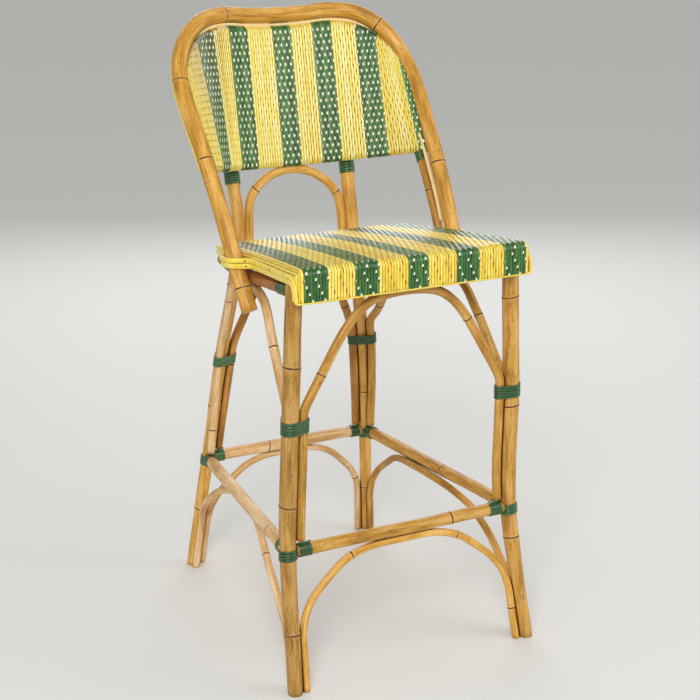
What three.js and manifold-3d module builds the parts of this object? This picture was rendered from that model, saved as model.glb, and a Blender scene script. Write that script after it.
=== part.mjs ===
// A bar-height bistro chair in bent rattan with a woven seat and a woven barrel back.
// Millimetres, +Z up, the front faces -Y, left is -X, and the chair is symmetric about X = 0.
// The origin lies on the floor under the middle of the chair's box. The sizes below count depth from a line
// 38 mm or so in front of that, and the finished chair is moved at the end.
import * as THREE from "three";
import { mergeVertices } from "three/addons/utils/BufferGeometryUtils.js";
import Module from "manifold-3d";

// Driving sizes.

const GAP = 0.3; // clearance between pieces that touch
const LEAN = 0.8; // more clearance where two poles touch at a slant
const HEIGHTS = {
  footRail: 246,
  frontWrap: 476,
  rearWrap: 461,
  seatFront: 759.5,
  apronBottom: 704,
  backWrap: 814,
  backBottom: 838,
};
const RADII = {
  frontLegTop: 14.5,
  frontLegFoot: 13.8,
  rearLegFoot: 12,
  rearLegTop: 14,
  footRail: 11.5,
  upperArch: 8.2,
  lowerArch: 7,
  seatRail: 10.5,
  weaveFrame: 6,
  hoop: 14.5,
  sidePost: 8.4,
  smallArch: 8.8,
  backRail: 8,
  bead: 3.2,
  strand: 2.2,
};

// Feet, rail joints, lashed joints and heads of the legs: how far out each one stands from the seat's front
// corner or its rear corner, and how deep.
const FRONT_LEG = { footOut: 15, footY: -253, railOut: 2, railY: -203, wrapOut: -3.5, wrapY: -210, topOut: -13, topY: -213 };
const REAR_LEG = { footOut: 10, footY: 329, railOut: -14, railY: 286.5, wrapOut: -37, wrapY: 254, seatOut: -71, seatY: 228 };
const REAR_POST = { wrapOut: -70.2, wrapY: 252.4, topOut: -64, topY: 318, topZ: 1088 };

const SEAT = {
  frontHalf: 222,
  rearHalf: 192,
  frontY: -257.5,
  rearY: 165,
  slope: 0.111, // fall per length towards the back
  weave: 5,
  crown: 4,
  frontRailDrop: 36,
  sideRailDrop: 43,
  rearRailDrop: 32,
};
const SIDE_RAIL = { straightTo: 40, kneeY: 105, kneeShare: 0.42, pastLeg: 14 }; // where it bends in to the rear leg
const BACK = {
  weave: 5,
  forward: 5,
  railSideZ: 870,
  dipShare: 0.16,
  middleY: 256,
  postTopZ: 876,
  weaveTopShare: 0.38,
  hubY: 300, // the point that the hoop's beading and posts face
  hubZ: 900,
  postTurnTop: THREE.MathUtils.degToRad(28), // how far each side post sits round the back of the hoop
  postTurnFoot: THREE.MathUtils.degToRad(34),
};

// The hoop, from the end of a leg below the seat up to its shoulder: how far out from the seat's side, depth, height.
const HOOP_SIDE = [
  [11.3, -38, 636],
  [17.3, 0, 706],
  [22.3, 42, 780],
  [26.3, 101, 870],
  [32.3, 166, 957],
  [32.3, 201, 999],
];
// Its crest, from a shoulder to the middle: share of the shoulder's half width, depth, height.
const HOOP_CREST = [
  [0.9576, 234, 1042],
  [0.8475, 261, 1082],
  [0.6695, 284, 1108],
  [0.4576, 305, 1114],
  [0.2288, 316, 1109],
  [0, 319, 1107],
];

// Arch outlines from a side up to the middle, as shares of the half span and of the rise.
const UPPER_SHARES = [[1, 0], [0.93, 0.15], [0.85, 0.29], [0.6, 0.71], [0.447, 0.88], [0.3, 0.965], [0, 1]];
const SIDE_FRONT_SHARES = [[1, 0], [0.932, 0.12], [0.826, 0.3], [0.72, 0.48], [0.609, 0.66], [0.498, 0.84], [0.38, 0.94], [0.2, 0.99], [0, 1]];
const SIDE_REAR_SHARES = [[1, 0], [0.876, 0.181], [0.785, 0.36], [0.68, 0.61], [0.53, 0.85], [0.38, 0.93], [0.2, 0.97], [0, 1]];
const LOWER_SHARES = [[1, 0], [0.958, 0.235], [0.87, 0.45], [0.72, 0.67], [0.56, 0.86], [0.4, 0.96], [0.24, 1], [0, 1]];
const LOWER_FRONT_SHARES = [[0.975, 0], [0.825, 0.3], [0.741, 0.455], [0.62, 0.62], [0.51, 0.76], [0.32, 0.89], [0.14, 0.97], [0, 1]];
const SMALL_SHARES = [[1, 0], [0.95, 0.27], [0.8, 0.56], [0.51, 0.84], [0.2, 0.98], [0, 1]];
const ARCHES = {
  frontRise: 688,
  sideRise: 664,
  rearRise: 664,
  sideInset: 6,
  lowerSideInset: 24,
  lowerSideAside: 13, // how far inside its foot rail a lower side arch runs
  bendAbove: 10.5,
  rearTurn: THREE.MathUtils.degToRad(29), // how far outwards a side arch sits round the rear leg
  lowerStart: 100,
  smallStart: 748,
  smallFoot: 684,
};

const BAND = { width: 8.4, thickness: 4, turn: 18, upperDrop: 16, apart: 9.2, slope: 0.085, bulge: 38, bulgeBack: 8 };
const BEAD_TURN = THREE.MathUtils.degToRad(0); // how far the beading sits round the front of the hoop
const WINDING = { pitch: 4.95, clear: 0.5, stepAngle: THREE.MathUtils.degToRad(45) };
const TURNS = {
  frontBrace: 5,
  rearBrace: 4,
  leg: 4,
  frontRail: 5,
  rearRail: 4,
  sideRailFront: 3,
  sideRailRear: 4,
  post: 5,
  sidePost: 4,
  seatRail: 9,
};
const NODE = { swell: 0.05, reach: 5 }; // the ring at each joint of a cane
const POLE_SIDES = 12;
const THIN_SIDES = 8;

// Colours from the photograph.
const HONEY = { color: "#c98f45", roughness: 0.42, metalness: 0 };
const PALE = { color: "#eac486", roughness: 0.45, metalness: 0 };
const YELLOW = { color: "#f2d54e", roughness: 0.38, metalness: 0 };
const GREEN = { color: "#2c5f38", roughness: 0.3, metalness: 0 };
const STRIPED = { color: "#9aa84a", roughness: 0.4, metalness: 0 };

const { lerp } = THREE.MathUtils;
const vec = (x, y, z) => new THREE.Vector3(x, y, z);
const SIDES = [["left", -1], ["right", 1]];
const chair = new THREE.Group();

function add(name, geometry, look) {
  const mesh = new THREE.Mesh(geometry, new THREE.MeshStandardMaterial(look));
  mesh.name = name;
  chair.add(mesh);
}

// A closed skin over rings of points, flat at both ends.
function loft(rings) {
  const count = rings[0].length;
  const positions = rings.flat().flatMap((p) => [p.x, p.y, p.z]);
  const index = [];
  for (let i = 0; i + 1 < rings.length; i++)
    for (let j = 0; j < count; j++) {
      const a = i * count + j;
      const b = i * count + ((j + 1) % count);
      index.push(a, b, b + count, a, b + count, a + count);
    }
  const last = (rings.length - 1) * count;
  for (let j = 1; j + 1 < count; j++) {
    index.push(0, j + 1, j);
    index.push(last, last + j, last + j + 1);
  }
  const geometry = new THREE.BufferGeometry();
  geometry.setAttribute("position", new THREE.Float32BufferAttribute(positions, 3));
  geometry.setIndex(index);
  return geometry;
}

// A ring of points about a centre, square to the path: right and up span its plane.
function ring(centre, right, up, radius, sides) {
  return Array.from({ length: sides }, (_, k) => {
    const angle = (k / sides) * 2 * Math.PI;
    return centre
      .clone()
      .addScaledVector(right, radius * Math.cos(angle))
      .addScaledVector(up, radius * Math.sin(angle));
  });
}

// Where the rings of a pole stand along its length: evenly, and close together at each cane joint.
function stationsAlong(length, steps, joints) {
  const even = Array.from({ length: steps + 1 }, (_, i) => (i / steps) * length);
  const close = joints.flatMap((j) => [j - NODE.reach, j, j + NODE.reach]);
  const kept = even.filter((d) => d === 0 || d === length || close.every((c) => Math.abs(c - d) > NODE.reach));
  return [...kept, ...close].sort((a, b) => a - b);
}

// A cane pole along a curve, with its radius running from one end's to the other's and a slight ring at each joint.
function pole(curve, startRadius, endRadius, steps, { joints = [], sides = POLE_SIDES } = {}) {
  const length = curve.getLength();
  const stations = stationsAlong(length, steps, joints.map((share) => share * length));
  const marks = joints.map((share) => share * length);
  let right = null;
  const rings = stations.map((d) => {
    const share = d / length;
    const tangent = curve.getTangentAt(share);
    if (!right) right = Math.abs(tangent.x) < Math.SQRT1_2 ? vec(1, 0, 0) : vec(0, 1, 0);
    right = right.clone().addScaledVector(tangent, -right.dot(tangent)).normalize();
    const up = tangent.clone().cross(right);
    const swell = marks.some((m) => Math.abs(m - d) < NODE.reach / 2) ? 1 + NODE.swell : 1;
    const radius = lerp(startRadius, endRadius, share) * swell;
    return ring(curve.getPointAt(share), right, up, radius, sides);
  });
  return loft(rings);
}

const onSide = (side, p) => vec(side * p.x, p.y, p.z);
const through = (points) => new THREE.CatmullRomCurve3(points, false, "centripetal");
const straight = (a, b) => new THREE.LineCurve3(a, b);

// The point of a rising curve at a height.
function atHeight(curve, z) {
  let low = 0;
  let high = 1;
  for (let i = 0; i < 40; i++) {
    const middle = (low + high) / 2;
    if (curve.getPoint(middle).z < z) low = middle;
    else high = middle;
  }
  return curve.getPoint(low);
}

// Joins and cuts.

const wasm = await Module();
wasm.setup();

function solid(geometry) {
  const bare = geometry.clone();
  bare.deleteAttribute("normal");
  bare.deleteAttribute("uv");
  const merged = mergeVertices(bare);
  const vertProperties = merged.attributes.position.array;
  const triVerts = new Uint32Array(merged.index.array);
  return new wasm.Manifold(new wasm.Mesh({ numProp: 3, vertProperties, triVerts }));
}

function cut(geometry, cutters) {
  const made = cutters.reduce((body, cutter) => body.subtract(solid(cutter)), solid(geometry));
  const largest = made.decompose().sort((a, b) => b.volume() - a.volume())[0];
  const mesh = largest.getMesh();
  const cutGeometry = new THREE.BufferGeometry();
  cutGeometry.setAttribute("position", new THREE.BufferAttribute(mesh.vertProperties, 3));
  cutGeometry.setIndex(new THREE.BufferAttribute(mesh.triVerts, 1));
  return cutGeometry;
}

// Legs.

const legTopZ = bandZ(FRONT_LEG.topY + RADII.frontLegTop, BAND.apart) - BAND.width / 2 - 2 * GAP;

function seatTop(y) {
  return HEIGHTS.seatFront - SEAT.slope * (y - SEAT.frontY);
}

// The height of the middle of an edge band at a depth: the upper band, or a length below it.
function bandZ(y, below) {
  return HEIGHTS.seatFront - BAND.upperDrop - BAND.slope * (y - SEAT.frontY) - below;
}

function halfWidth(y) {
  return lerp(SEAT.frontHalf, SEAT.rearHalf, (y - SEAT.frontY) / (SEAT.rearY - SEAT.frontY));
}

function frontLegCurve(side) {
  const l = FRONT_LEG;
  const x = (out) => side * (SEAT.frontHalf + out);
  return through([
    vec(x(l.footOut), l.footY, 0),
    vec(x(l.railOut), l.railY, HEIGHTS.footRail),
    vec(x(l.wrapOut), l.wrapY, HEIGHTS.frontWrap),
    vec(x(l.topOut), l.topY, legTopZ),
  ]);
}

function rearLegCurve(side) {
  const l = REAR_LEG;
  const p = REAR_POST;
  const x = (out) => side * (SEAT.rearHalf + out);
  return through([
    vec(x(l.footOut), l.footY, 0),
    vec(x(l.railOut), l.railY, HEIGHTS.footRail),
    vec(x(l.wrapOut), l.wrapY, HEIGHTS.rearWrap),
    vec(x(l.seatOut), l.seatY, seatTop(l.seatY)),
    vec(x(p.wrapOut), p.wrapY, HEIGHTS.backWrap),
    vec(x(p.topOut), p.topY, p.topZ),
  ]);
}

// Both ends of a leg are level: the foot on the floor, and the head under what it carries.
function levelEnds(geometry, bottom, top) {
  const position = geometry.attributes.position;
  const count = position.count;
  const perRing = POLE_SIDES;
  for (let i = 0; i < perRing; i++) {
    position.setZ(i, bottom);
    position.setZ(count - 1 - i, top);
  }
  return geometry;
}

const FRONT_JOINTS = [0.145, 0.455, 0.81];
const REAR_JOINTS = [0.12, 0.33, 0.56, 0.84];
const frontLegs = {};
const rearLegs = {};
const radiusAlong = (z, foot, top, height) => lerp(foot, top, z / height);
const frontRadius = (z) => radiusAlong(z, RADII.frontLegFoot, RADII.frontLegTop, legTopZ) * (1 + NODE.swell / 2);
const rearRadius = (z) => radiusAlong(z, RADII.rearLegFoot, RADII.rearLegTop, REAR_POST.topZ) * (1 + NODE.swell / 2);

for (const [word, side] of SIDES) {
  frontLegs[word] = frontLegCurve(side);
  rearLegs[word] = rearLegCurve(side);
  const front = pole(frontLegs[word], RADII.frontLegFoot, RADII.frontLegTop, 8, { joints: FRONT_JOINTS });
  const rear = pole(rearLegs[word], RADII.rearLegFoot, RADII.rearLegTop, 12, { joints: REAR_JOINTS });
  add(`front_leg_${word}`, levelEnds(front, 0, legTopZ), HONEY);
  add(`rear_leg_${word}`, levelEnds(rear, 0, REAR_POST.topZ), HONEY);
}

// Foot rails: each one is scribed to the lashed legs at its ends.

// How far a winding reaches from the axis of the pole inside it.
const halfTurns = (turns) => (turns * WINDING.pitch) / 2;
const windingReach = (radius) =>
  (radius + WINDING.clear + RADII.strand) / Math.cos(WINDING.stepAngle / 2) + RADII.strand;

// A pole's outline made larger all round, to cut its neighbours with.
const grown = (curve, radius, steps) => {
  const flatToFlat = radius / Math.cos(Math.PI / POLE_SIDES);
  return pole(curve, flatToFlat, flatToFlat, steps);
};

function footRail(start, end) {
  const z = HEIGHTS.footRail;
  const cutters = [start, end].map(({ curve, radiusAt }) => grown(curve, windingReach(radiusAt(z)) + GAP, 24));
  const a = atHeight(start.curve, z);
  const b = atHeight(end.curve, z);
  const rail = pole(straight(a, b), RADII.footRail, RADII.footRail, 2, { joints: [0.37] });
  return cut(rail, cutters);
}

const corner = {};
for (const [word] of SIDES) {
  corner[`front_${word}`] = { curve: frontLegs[word], radiusAt: frontRadius };
  corner[`rear_${word}`] = { curve: rearLegs[word], radiusAt: rearRadius };
}
const RAIL_RUNS = {
  front: ["front_left", "front_right"],
  rear: ["rear_left", "rear_right"],
  left: ["front_left", "rear_left"],
  right: ["front_right", "rear_right"],
};
for (const [where, [from, to]] of Object.entries(RAIL_RUNS))
  add(`foot_rail_${where}`, footRail(corner[from], corner[to]), HONEY);

// Arches. Each lies between two legs, runs up close beside them, and bends over in between.

// The centre of an arch pole beside a leg at a height, on the side that faces the other leg or turned outwards from it.
function beside(leg, other, z, archRadius, turn = 0) {
  const here = atHeight(leg.curve, z);
  const there = atHeight(other.curve, z);
  const towards = there.clone().sub(here).normalize().applyAxisAngle(vec(0, 0, 1), turn * Math.sign(here.x));
  return here.addScaledVector(towards, leg.radiusAt(z) + archRadius + LEAN);
}

// How far outwards a side arch has turned round its rear leg at a height: not at the foot rail, fully at the binding.
function turnAt(z) {
  const share = (z - HEIGHTS.footRail) / (HEIGHTS.rearWrap - HEIGHTS.footRail);
  return ARCHES.rearTurn * Math.min(1, Math.max(0, share));
}

// How far the plane of two legs leans over between two heights, at a share of the way from the other leg to this one.
function leanBetween(leg, other, fromZ, toZ, share) {
  const [moved, otherMoved] = [leg, other].map(({ curve }) => atHeight(curve, toZ).sub(atHeight(curve, fromZ)));
  const span = atHeight(leg.curve, fromZ).sub(atHeight(other.curve, fromZ)).normalize();
  const lean = otherMoved.lerp(moved, share);
  lean.addScaledVector(span, -lean.dot(span));
  return lean.setZ(0);
}

// An arch from one leg to another: up beside the one, over by its shares, and down beside the other.
function archCurve({ from, to, radius, footZ, startZ, riseZ, shares, farShares = shares, side, inset = 0 }) {
  const legSteps = footZ > 0 ? 5 : 2;
  const ends = [[corner[from], corner[to]], [corner[to], corner[from]]];
  const startOf = (z) => ends.map(([leg, other], i) => beside(leg, other, z, radius, side && i ? turnAt(z) : 0));
  const run = Array.from({ length: legSteps }, (_, i) => lerp(footZ, startZ, i / legSteps));
  const starts = startOf(startZ);
  const middle = starts[0].clone().add(starts[1]).multiplyScalar(0.5);
  const over = (end, outline) =>
    outline.map(([spanShare, riseShare]) => {
      const p = middle.clone().lerp(starts[end], spanShare);
      p.z = lerp(startZ, riseZ, riseShare);
      if (!side) p.add(leanBetween(...ends[end], startZ, p.z, (1 + spanShare) / 2));
      p.x -= Math.sign(middle.x) * inset * riseShare ** 6;
      return p;
    });
  const up = run.map((z) => startOf(z)[0]);
  const down = run.map((z) => startOf(z)[1]).reverse();
  return through([...up, ...over(0, shares), ...over(1, farShares).slice(0, -1).reverse(), ...down]);
}

const upperFoot = HEIGHTS.footRail + windingReach(RADII.footRail) + LEAN;
const railToArch = RADII.footRail * (1 + NODE.swell) + RADII.lowerArch + GAP; // from centre to centre
const lowerRise = HEIGHTS.footRail - railToArch;
const lowerSideRise = HEIGHTS.footRail - Math.sqrt(railToArch ** 2 - ARCHES.lowerSideAside ** 2);
const archCurves = {};
for (const [where, [from, to]] of Object.entries(RAIL_RUNS)) {
  const side = where === "left" || where === "right";
  const rear = where === "rear";
  const turns = rear ? TURNS.rearBrace : TURNS.frontBrace;
  archCurves[where] = archCurve({
    from,
    to,
    radius: RADII.upperArch,
    footZ: upperFoot,
    startZ: (rear ? HEIGHTS.rearWrap : HEIGHTS.frontWrap) + halfTurns(turns) + ARCHES.bendAbove,
    riseZ: side ? ARCHES.sideRise : ARCHES[`${where}Rise`],
    shares: side ? SIDE_FRONT_SHARES : UPPER_SHARES,
    farShares: side ? SIDE_REAR_SHARES : UPPER_SHARES,
    side,
    inset: side ? ARCHES.sideInset : 0,
  });
  const lower = archCurve({
    from,
    to,
    radius: RADII.lowerArch,
    footZ: 0,
    startZ: ARCHES.lowerStart,
    riseZ: side ? lowerSideRise : lowerRise,
    shares: side ? LOWER_FRONT_SHARES : LOWER_SHARES,
    farShares: LOWER_SHARES,
    side,
    inset: side ? ARCHES.lowerSideInset : 0,
  });
  const upperPole = pole(archCurves[where], RADII.upperArch, RADII.upperArch, 26, { sides: THIN_SIDES });
  const lowerPole = pole(lower, RADII.lowerArch, RADII.lowerArch, 20, { sides: THIN_SIDES });
  add(`upper_arch_${where}`, upperPole, where === "left" ? PALE : HONEY);
  add(`lower_arch_${where}`, levelFeet(lowerPole, THIN_SIDES), HONEY);
}

// Both ends of an arch stand flat on the floor.
function levelFeet(geometry, perRing) {
  const position = geometry.attributes.position;
  for (let i = 0; i < perRing; i++) {
    position.setZ(i, 0);
    position.setZ(position.count - 1 - i, 0);
  }
  return geometry;
}

// The hoop of the back, with its beading, rear border and side posts.

const besideSeat = halfWidth(0);
const shoulder = besideSeat + HOOP_SIDE[HOOP_SIDE.length - 1][0];
const hoopSide = HOOP_SIDE.map(([out, y, z]) => vec(besideSeat + out, y, z));
const hoopCrest = HOOP_CREST.map(([share, y, z]) => vec(shoulder * share, y, z));
const hoopHalf = [...hoopSide, ...hoopCrest];
const hoopLeft = hoopHalf.map((p) => vec(-p.x, p.y, p.z));
const hoopCurve = through([...hoopLeft, ...hoopHalf.slice(0, -1).reverse()]);
hoopCurve.arcLengthDivisions = 400;
const hoopGeometry = pole(hoopCurve, RADII.hoop, RADII.hoop, 36, { joints: [0.2, 0.41, 0.62, 0.8] });
add("back_hoop", hoopGeometry, HONEY);

// The hoop's own directions at a share of its length: along it, inwards across the back, and out behind.
const hoopHub = vec(0, BACK.hubY, BACK.hubZ);
function hoopFrame(share) {
  const point = hoopCurve.getPointAt(share);
  const along = hoopCurve.getTangentAt(share);
  const inward = hoopHub.clone().sub(point);
  inward.addScaledVector(along, -inward.dot(along)).normalize();
  const behind = inward.clone().cross(along).normalize();
  if (behind.y < 0) behind.negate();
  return { point, along, inward, behind };
}

// The share of the hoop's length, on its right leg, at a height.
function hoopShareAt(z) {
  let low = 0.62;
  let high = 1;
  for (let i = 0; i < 40; i++) {
    const middle = (low + high) / 2;
    if (hoopCurve.getPointAt(middle).z > z) low = middle;
    else high = middle;
  }
  return low;
}

const hoopAtRail = hoopCurve.getPointAt(hoopShareAt(seatTop(0) - SEAT.sideRailDrop));
const hoopAtSeat = hoopCurve.getPointAt(hoopShareAt(seatTop(0)));
const beadEnd = hoopShareAt(seatTop(hoopAtSeat.y) + RADII.hoop);

function beading(radius) {
  const reach = RADII.hoop * (1 + NODE.swell) + RADII.bead + 2 * GAP;
  const steps = 36;
  const rings = Array.from({ length: steps + 1 }, (_, i) => {
    const frame = hoopFrame(lerp(1 - beadEnd, beadEnd, i / steps));
    const centre = frame.point
      .clone()
      .addScaledVector(frame.inward, reach * Math.cos(BEAD_TURN))
      .addScaledVector(frame.behind, -reach * Math.sin(BEAD_TURN));
    const up = frame.along.clone().cross(frame.inward);
    return ring(centre, frame.inward, up, radius, 6);
  });
  return loft(rings);
}
add("back_beading", beading(RADII.bead), PALE);

// A flat band in cross-section: half round outside, flat where it lies on the frame.
const BAND_SECTION_SHARES = [[-0.5, -0.5], [0.5, -0.5], [0.5, 0], [0.25, 0.5], [-0.25, 0.5], [-0.5, 0]];
function bandRing(centre, outward, across) {
  return BAND_SECTION_SHARES.map(([wide, thick]) =>
    centre
      .clone()
      .addScaledVector(across, wide * BAND.width)
      .addScaledVector(outward, thick * BAND.thickness));
}

function rearBorder() {
  const reach = RADII.hoop * (1 + NODE.swell) + BAND.thickness / 2 + GAP;
  const end = hoopShareAt(BACK.railSideZ);
  const steps = 28;
  const rings = Array.from({ length: steps + 1 }, (_, i) => {
    const frame = hoopFrame(lerp(1 - end, end, i / steps));
    const centre = frame.point.clone().addScaledVector(frame.behind, reach);
    const across = frame.behind.clone().cross(frame.along);
    return bandRing(centre, frame.behind, across);
  });
  return loft(rings);
}
add("back_rear_border", rearBorder(), YELLOW);

const postOffset = RADII.hoop * (1 + NODE.swell) + windingReach(RADII.sidePost) + 3 * LEAN + 2 * GAP;

// The centre of the right side post at a height, turned round the back of the hoop by an angle.
function postPoint(z, turn) {
  const pointAt = (share) => {
    const frame = hoopFrame(share);
    const p = frame.point.clone().addScaledVector(frame.inward, postOffset * Math.cos(turn));
    return p.addScaledVector(frame.behind, postOffset * Math.sin(turn));
  };
  let low = 0.62;
  let high = 1;
  for (let i = 0; i < 40; i++) {
    const middle = (low + high) / 2;
    if (pointAt(middle).z > z) low = middle;
    else high = middle;
  }
  return pointAt(low);
}

// A side post stands on the outer side of the seat's side rail, close behind the hoop.
function sidePostCurve(side) {
  const bottomZ = seatTop(hoopAtSeat.y) - SEAT.sideRailDrop - RADII.seatRail;
  const points = [0, 0.33, 0.67, 1].map((share) => {
    const turn = lerp(BACK.postTurnFoot, BACK.postTurnTop, share);
    return onSide(side, postPoint(lerp(bottomZ, BACK.postTopZ, share), turn));
  });
  return through(points);
}

// Seat frame. The rails carry the seat; a lighter frame on top of them holds the weave.

const railInset = halfWidth(hoopAtRail.y) - (hoopAtRail.x - RADII.hoop - RADII.seatRail - 2 * GAP);
const frontRailY = FRONT_LEG.topY - frontRadius(legTopZ) - RADII.seatRail - GAP;

function sideRailPoint(y) {
  return vec(halfWidth(y) - railInset, y, seatTop(y) - SEAT.sideRailDrop);
}

// A side rail runs straight back along the seat, then bends in to the outer side of the rear leg.
function sideRailCurve(side) {
  const z = seatTop(REAR_LEG.seatY) - SEAT.sideRailDrop;
  const leg = atHeight(rearLegs.right, z);
  const beyond = leg.y + SIDE_RAIL.pastLeg;
  const end = vec(leg.x + rearRadius(z) + RADII.seatRail + LEAN, beyond, seatTop(beyond) - SEAT.sideRailDrop);
  const start = sideRailPoint(FRONT_LEG.topY);
  const bend = sideRailPoint(SIDE_RAIL.straightTo);
  const knee = sideRailPoint(SIDE_RAIL.kneeY);
  const chord = (SIDE_RAIL.kneeY - bend.y) / (end.y - bend.y);
  knee.x = lerp(knee.x, lerp(bend.x, end.x, chord), SIDE_RAIL.kneeShare);
  return through([start, start.clone().lerp(bend, 0.5), bend, knee, end].map((p) => onSide(side, p)));
}

const frameDrop = SEAT.weave + RADII.weaveFrame + 3 * GAP;
const rollRadius = frameDrop;

function framePoint(y) {
  return vec(halfWidth(y) - frameDrop, y, seatTop(y) - frameDrop);
}

const sidePosts = {};
for (const [word, side] of SIDES) {
  const rail = pole(sideRailCurve(side), RADII.seatRail, RADII.seatRail, 12);
  const scribe = grown(frontLegs[word], RADII.frontLegTop + GAP, 24);
  add(`seat_side_rail_${word}`, cut(rail, [scribe]), HONEY);
  sidePosts[word] = sidePostCurve(side);
  const edge = [SEAT.frontY, SEAT.rearY].map((y) => onSide(side, framePoint(y)));
  const post = pole(sidePosts[word], RADII.sidePost, RADII.sidePost, 6);
  const besidePost = [grown(straight(...edge), rollRadius + GAP, 1), grown(sideRailCurve(side), RADII.seatRail + GAP, 12)];
  add(`back_side_post_${word}`, cut(post, besidePost), HONEY);
}

function crossRail(y, z, half, radius) {
  return pole(straight(vec(-half, y, z), vec(half, y, z)), radius, radius, 2);
}
const rearRailY = SEAT.rearY - frameDrop;
const rearRailHalf = sideRailPoint(rearRailY).x;
const frontRailZ = seatTop(frontRailY) - SEAT.frontRailDrop;
const rearRailZ = seatTop(rearRailY) - SEAT.rearRailDrop;
const frontRailHalf = SEAT.frontHalf + FRONT_LEG.topOut;
const rearRailEnds = SIDES.map(([, side]) => grown(sideRailCurve(side), RADII.seatRail + GAP, 12));
add("seat_front_rail", crossRail(frontRailY, frontRailZ, frontRailHalf, RADII.seatRail), HONEY);
add("seat_rear_rail", cut(crossRail(rearRailY, rearRailZ, rearRailHalf, RADII.seatRail), rearRailEnds), HONEY);

const frameFrontY = SEAT.frontY + frameDrop;
const frameRearY = SEAT.rearY - frameDrop;
for (const [word, side] of SIDES) {
  const from = frameFrontY + RADII.weaveFrame + GAP;
  const ends = [from, frameRearY].map((y) => onSide(side, framePoint(y)));
  add(`weave_frame_${word}`, pole(straight(...ends), RADII.weaveFrame, RADII.weaveFrame, 2), HONEY);
}
const frameRearHalf = framePoint(frameRearY).x - RADII.weaveFrame - 2 * GAP;
const frameFrontHalf = framePoint(frameFrontY).x + 4 * GAP;
add("weave_frame_front", crossRail(frameFrontY, seatTop(frameFrontY) - frameDrop, frameFrontHalf, RADII.weaveFrame), HONEY);
add("weave_frame_rear", crossRail(frameRearY, seatTop(frameRearY) - frameDrop, frameRearHalf, RADII.weaveFrame), HONEY);

// A sheet between an outer and an inner grid of points, closed round its edge.
function sheet(columns, rows, pointAt) {
  const outer = [];
  const inner = [];
  for (let i = 0; i <= columns; i++)
    for (let j = 0; j <= rows; j++) {
      const { point, normal, thickness } = pointAt(i / columns, j / rows);
      outer.push(point);
      inner.push(point.clone().addScaledVector(normal, -thickness));
    }
  const positions = [...outer, ...inner].flatMap((p) => [p.x, p.y, p.z]);
  const shift = outer.length;
  const at = (i, j) => i * (rows + 1) + j;
  const index = [];
  const quad = (a, b, c, d) => index.push(a, b, c, a, c, d);
  for (let i = 0; i < columns; i++)
    for (let j = 0; j < rows; j++) {
      quad(at(i, j), at(i + 1, j), at(i + 1, j + 1), at(i, j + 1));
      quad(shift + at(i, j), shift + at(i, j + 1), shift + at(i + 1, j + 1), shift + at(i + 1, j));
    }
  for (let i = 0; i < columns; i++) {
    quad(at(i, 0), shift + at(i, 0), shift + at(i + 1, 0), at(i + 1, 0));
    quad(at(i, rows), at(i + 1, rows), shift + at(i + 1, rows), shift + at(i, rows));
  }
  for (let j = 0; j < rows; j++) {
    quad(at(0, j), at(0, j + 1), shift + at(0, j + 1), shift + at(0, j));
    quad(at(columns, j), shift + at(columns, j), shift + at(columns, j + 1), at(columns, j + 1));
  }
  const geometry = new THREE.BufferGeometry();
  geometry.setAttribute("position", new THREE.Float32BufferAttribute(positions, 3));
  geometry.setIndex(index);
  return geometry;
}

// The woven seat: a skin over the light frame, turned down in front as an apron and rolled over the sides and the back.

// The side view of the skin, from the foot of the apron over the front roll and back along the seat.
function seatProfile() {
  const points = [];
  const rollZ = seatTop(SEAT.frontY + rollRadius) - rollRadius;
  const rollY = SEAT.frontY + rollRadius;
  const put = (y, z, ny, nz) => points.push({ y, z, ny, nz });
  put(SEAT.frontY, HEIGHTS.apronBottom, -1, 0);
  for (let i = 0; i <= 5; i++) {
    const angle = (i / 5) * (Math.PI / 2);
    put(rollY - rollRadius * Math.cos(angle), rollZ + rollRadius * Math.sin(angle), -Math.cos(angle), Math.sin(angle));
  }
  const backY = SEAT.rearY - rollRadius;
  for (let i = 1; i <= 4; i++) put(lerp(rollY, backY, i / 4), seatTop(lerp(rollY, backY, i / 4)), 0, 1);
  const backZ = seatTop(backY) - rollRadius;
  for (let i = 1; i <= 3; i++) {
    const angle = (i / 3) * (Math.PI / 2);
    put(backY + rollRadius * Math.sin(angle), backZ + rollRadius * Math.cos(angle), Math.sin(angle), Math.cos(angle));
  }
  return points;
}

const ROLL_STEPS = 3;
const SEAT_SPAN_STEPS = 6;
function seatSheet() {
  const profile = seatProfile();
  const columns = 2 * ROLL_STEPS + SEAT_SPAN_STEPS;
  return sheet(columns, profile.length - 1, (u, v) => {
    const { y, z, ny, nz } = profile[Math.round(v * (profile.length - 1))];
    const column = Math.round(u * columns);
    const flatHalf = halfWidth(Math.min(Math.max(y, SEAT.frontY), SEAT.rearY)) - rollRadius;
    const fromEdge = Math.min(column, columns - column);
    const side = column < columns / 2 ? -1 : 1;
    const rolled = Math.max(0, ROLL_STEPS - fromEdge) / ROLL_STEPS;
    const angle = rolled * (Math.PI / 2);
    const flatShare = (column - ROLL_STEPS) / SEAT_SPAN_STEPS;
    const flatX = lerp(-flatHalf, flatHalf, Math.min(1, Math.max(0, flatShare)));
    const drop = rollRadius * (1 - Math.cos(angle));
    const depthShare = (y - SEAT.frontY) / (SEAT.rearY - SEAT.frontY);
    const crown = SEAT.crown * nz * Math.sin(Math.PI * Math.min(1, Math.max(0, depthShare)));
    const point = vec(flatX + side * rollRadius * Math.sin(angle), y - ny * drop, z - nz * drop + crown);
    const normal = vec(side * Math.sin(angle), ny * Math.cos(angle), nz * Math.cos(angle));
    return { point, normal, thickness: SEAT.weave };
  });
}

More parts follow.
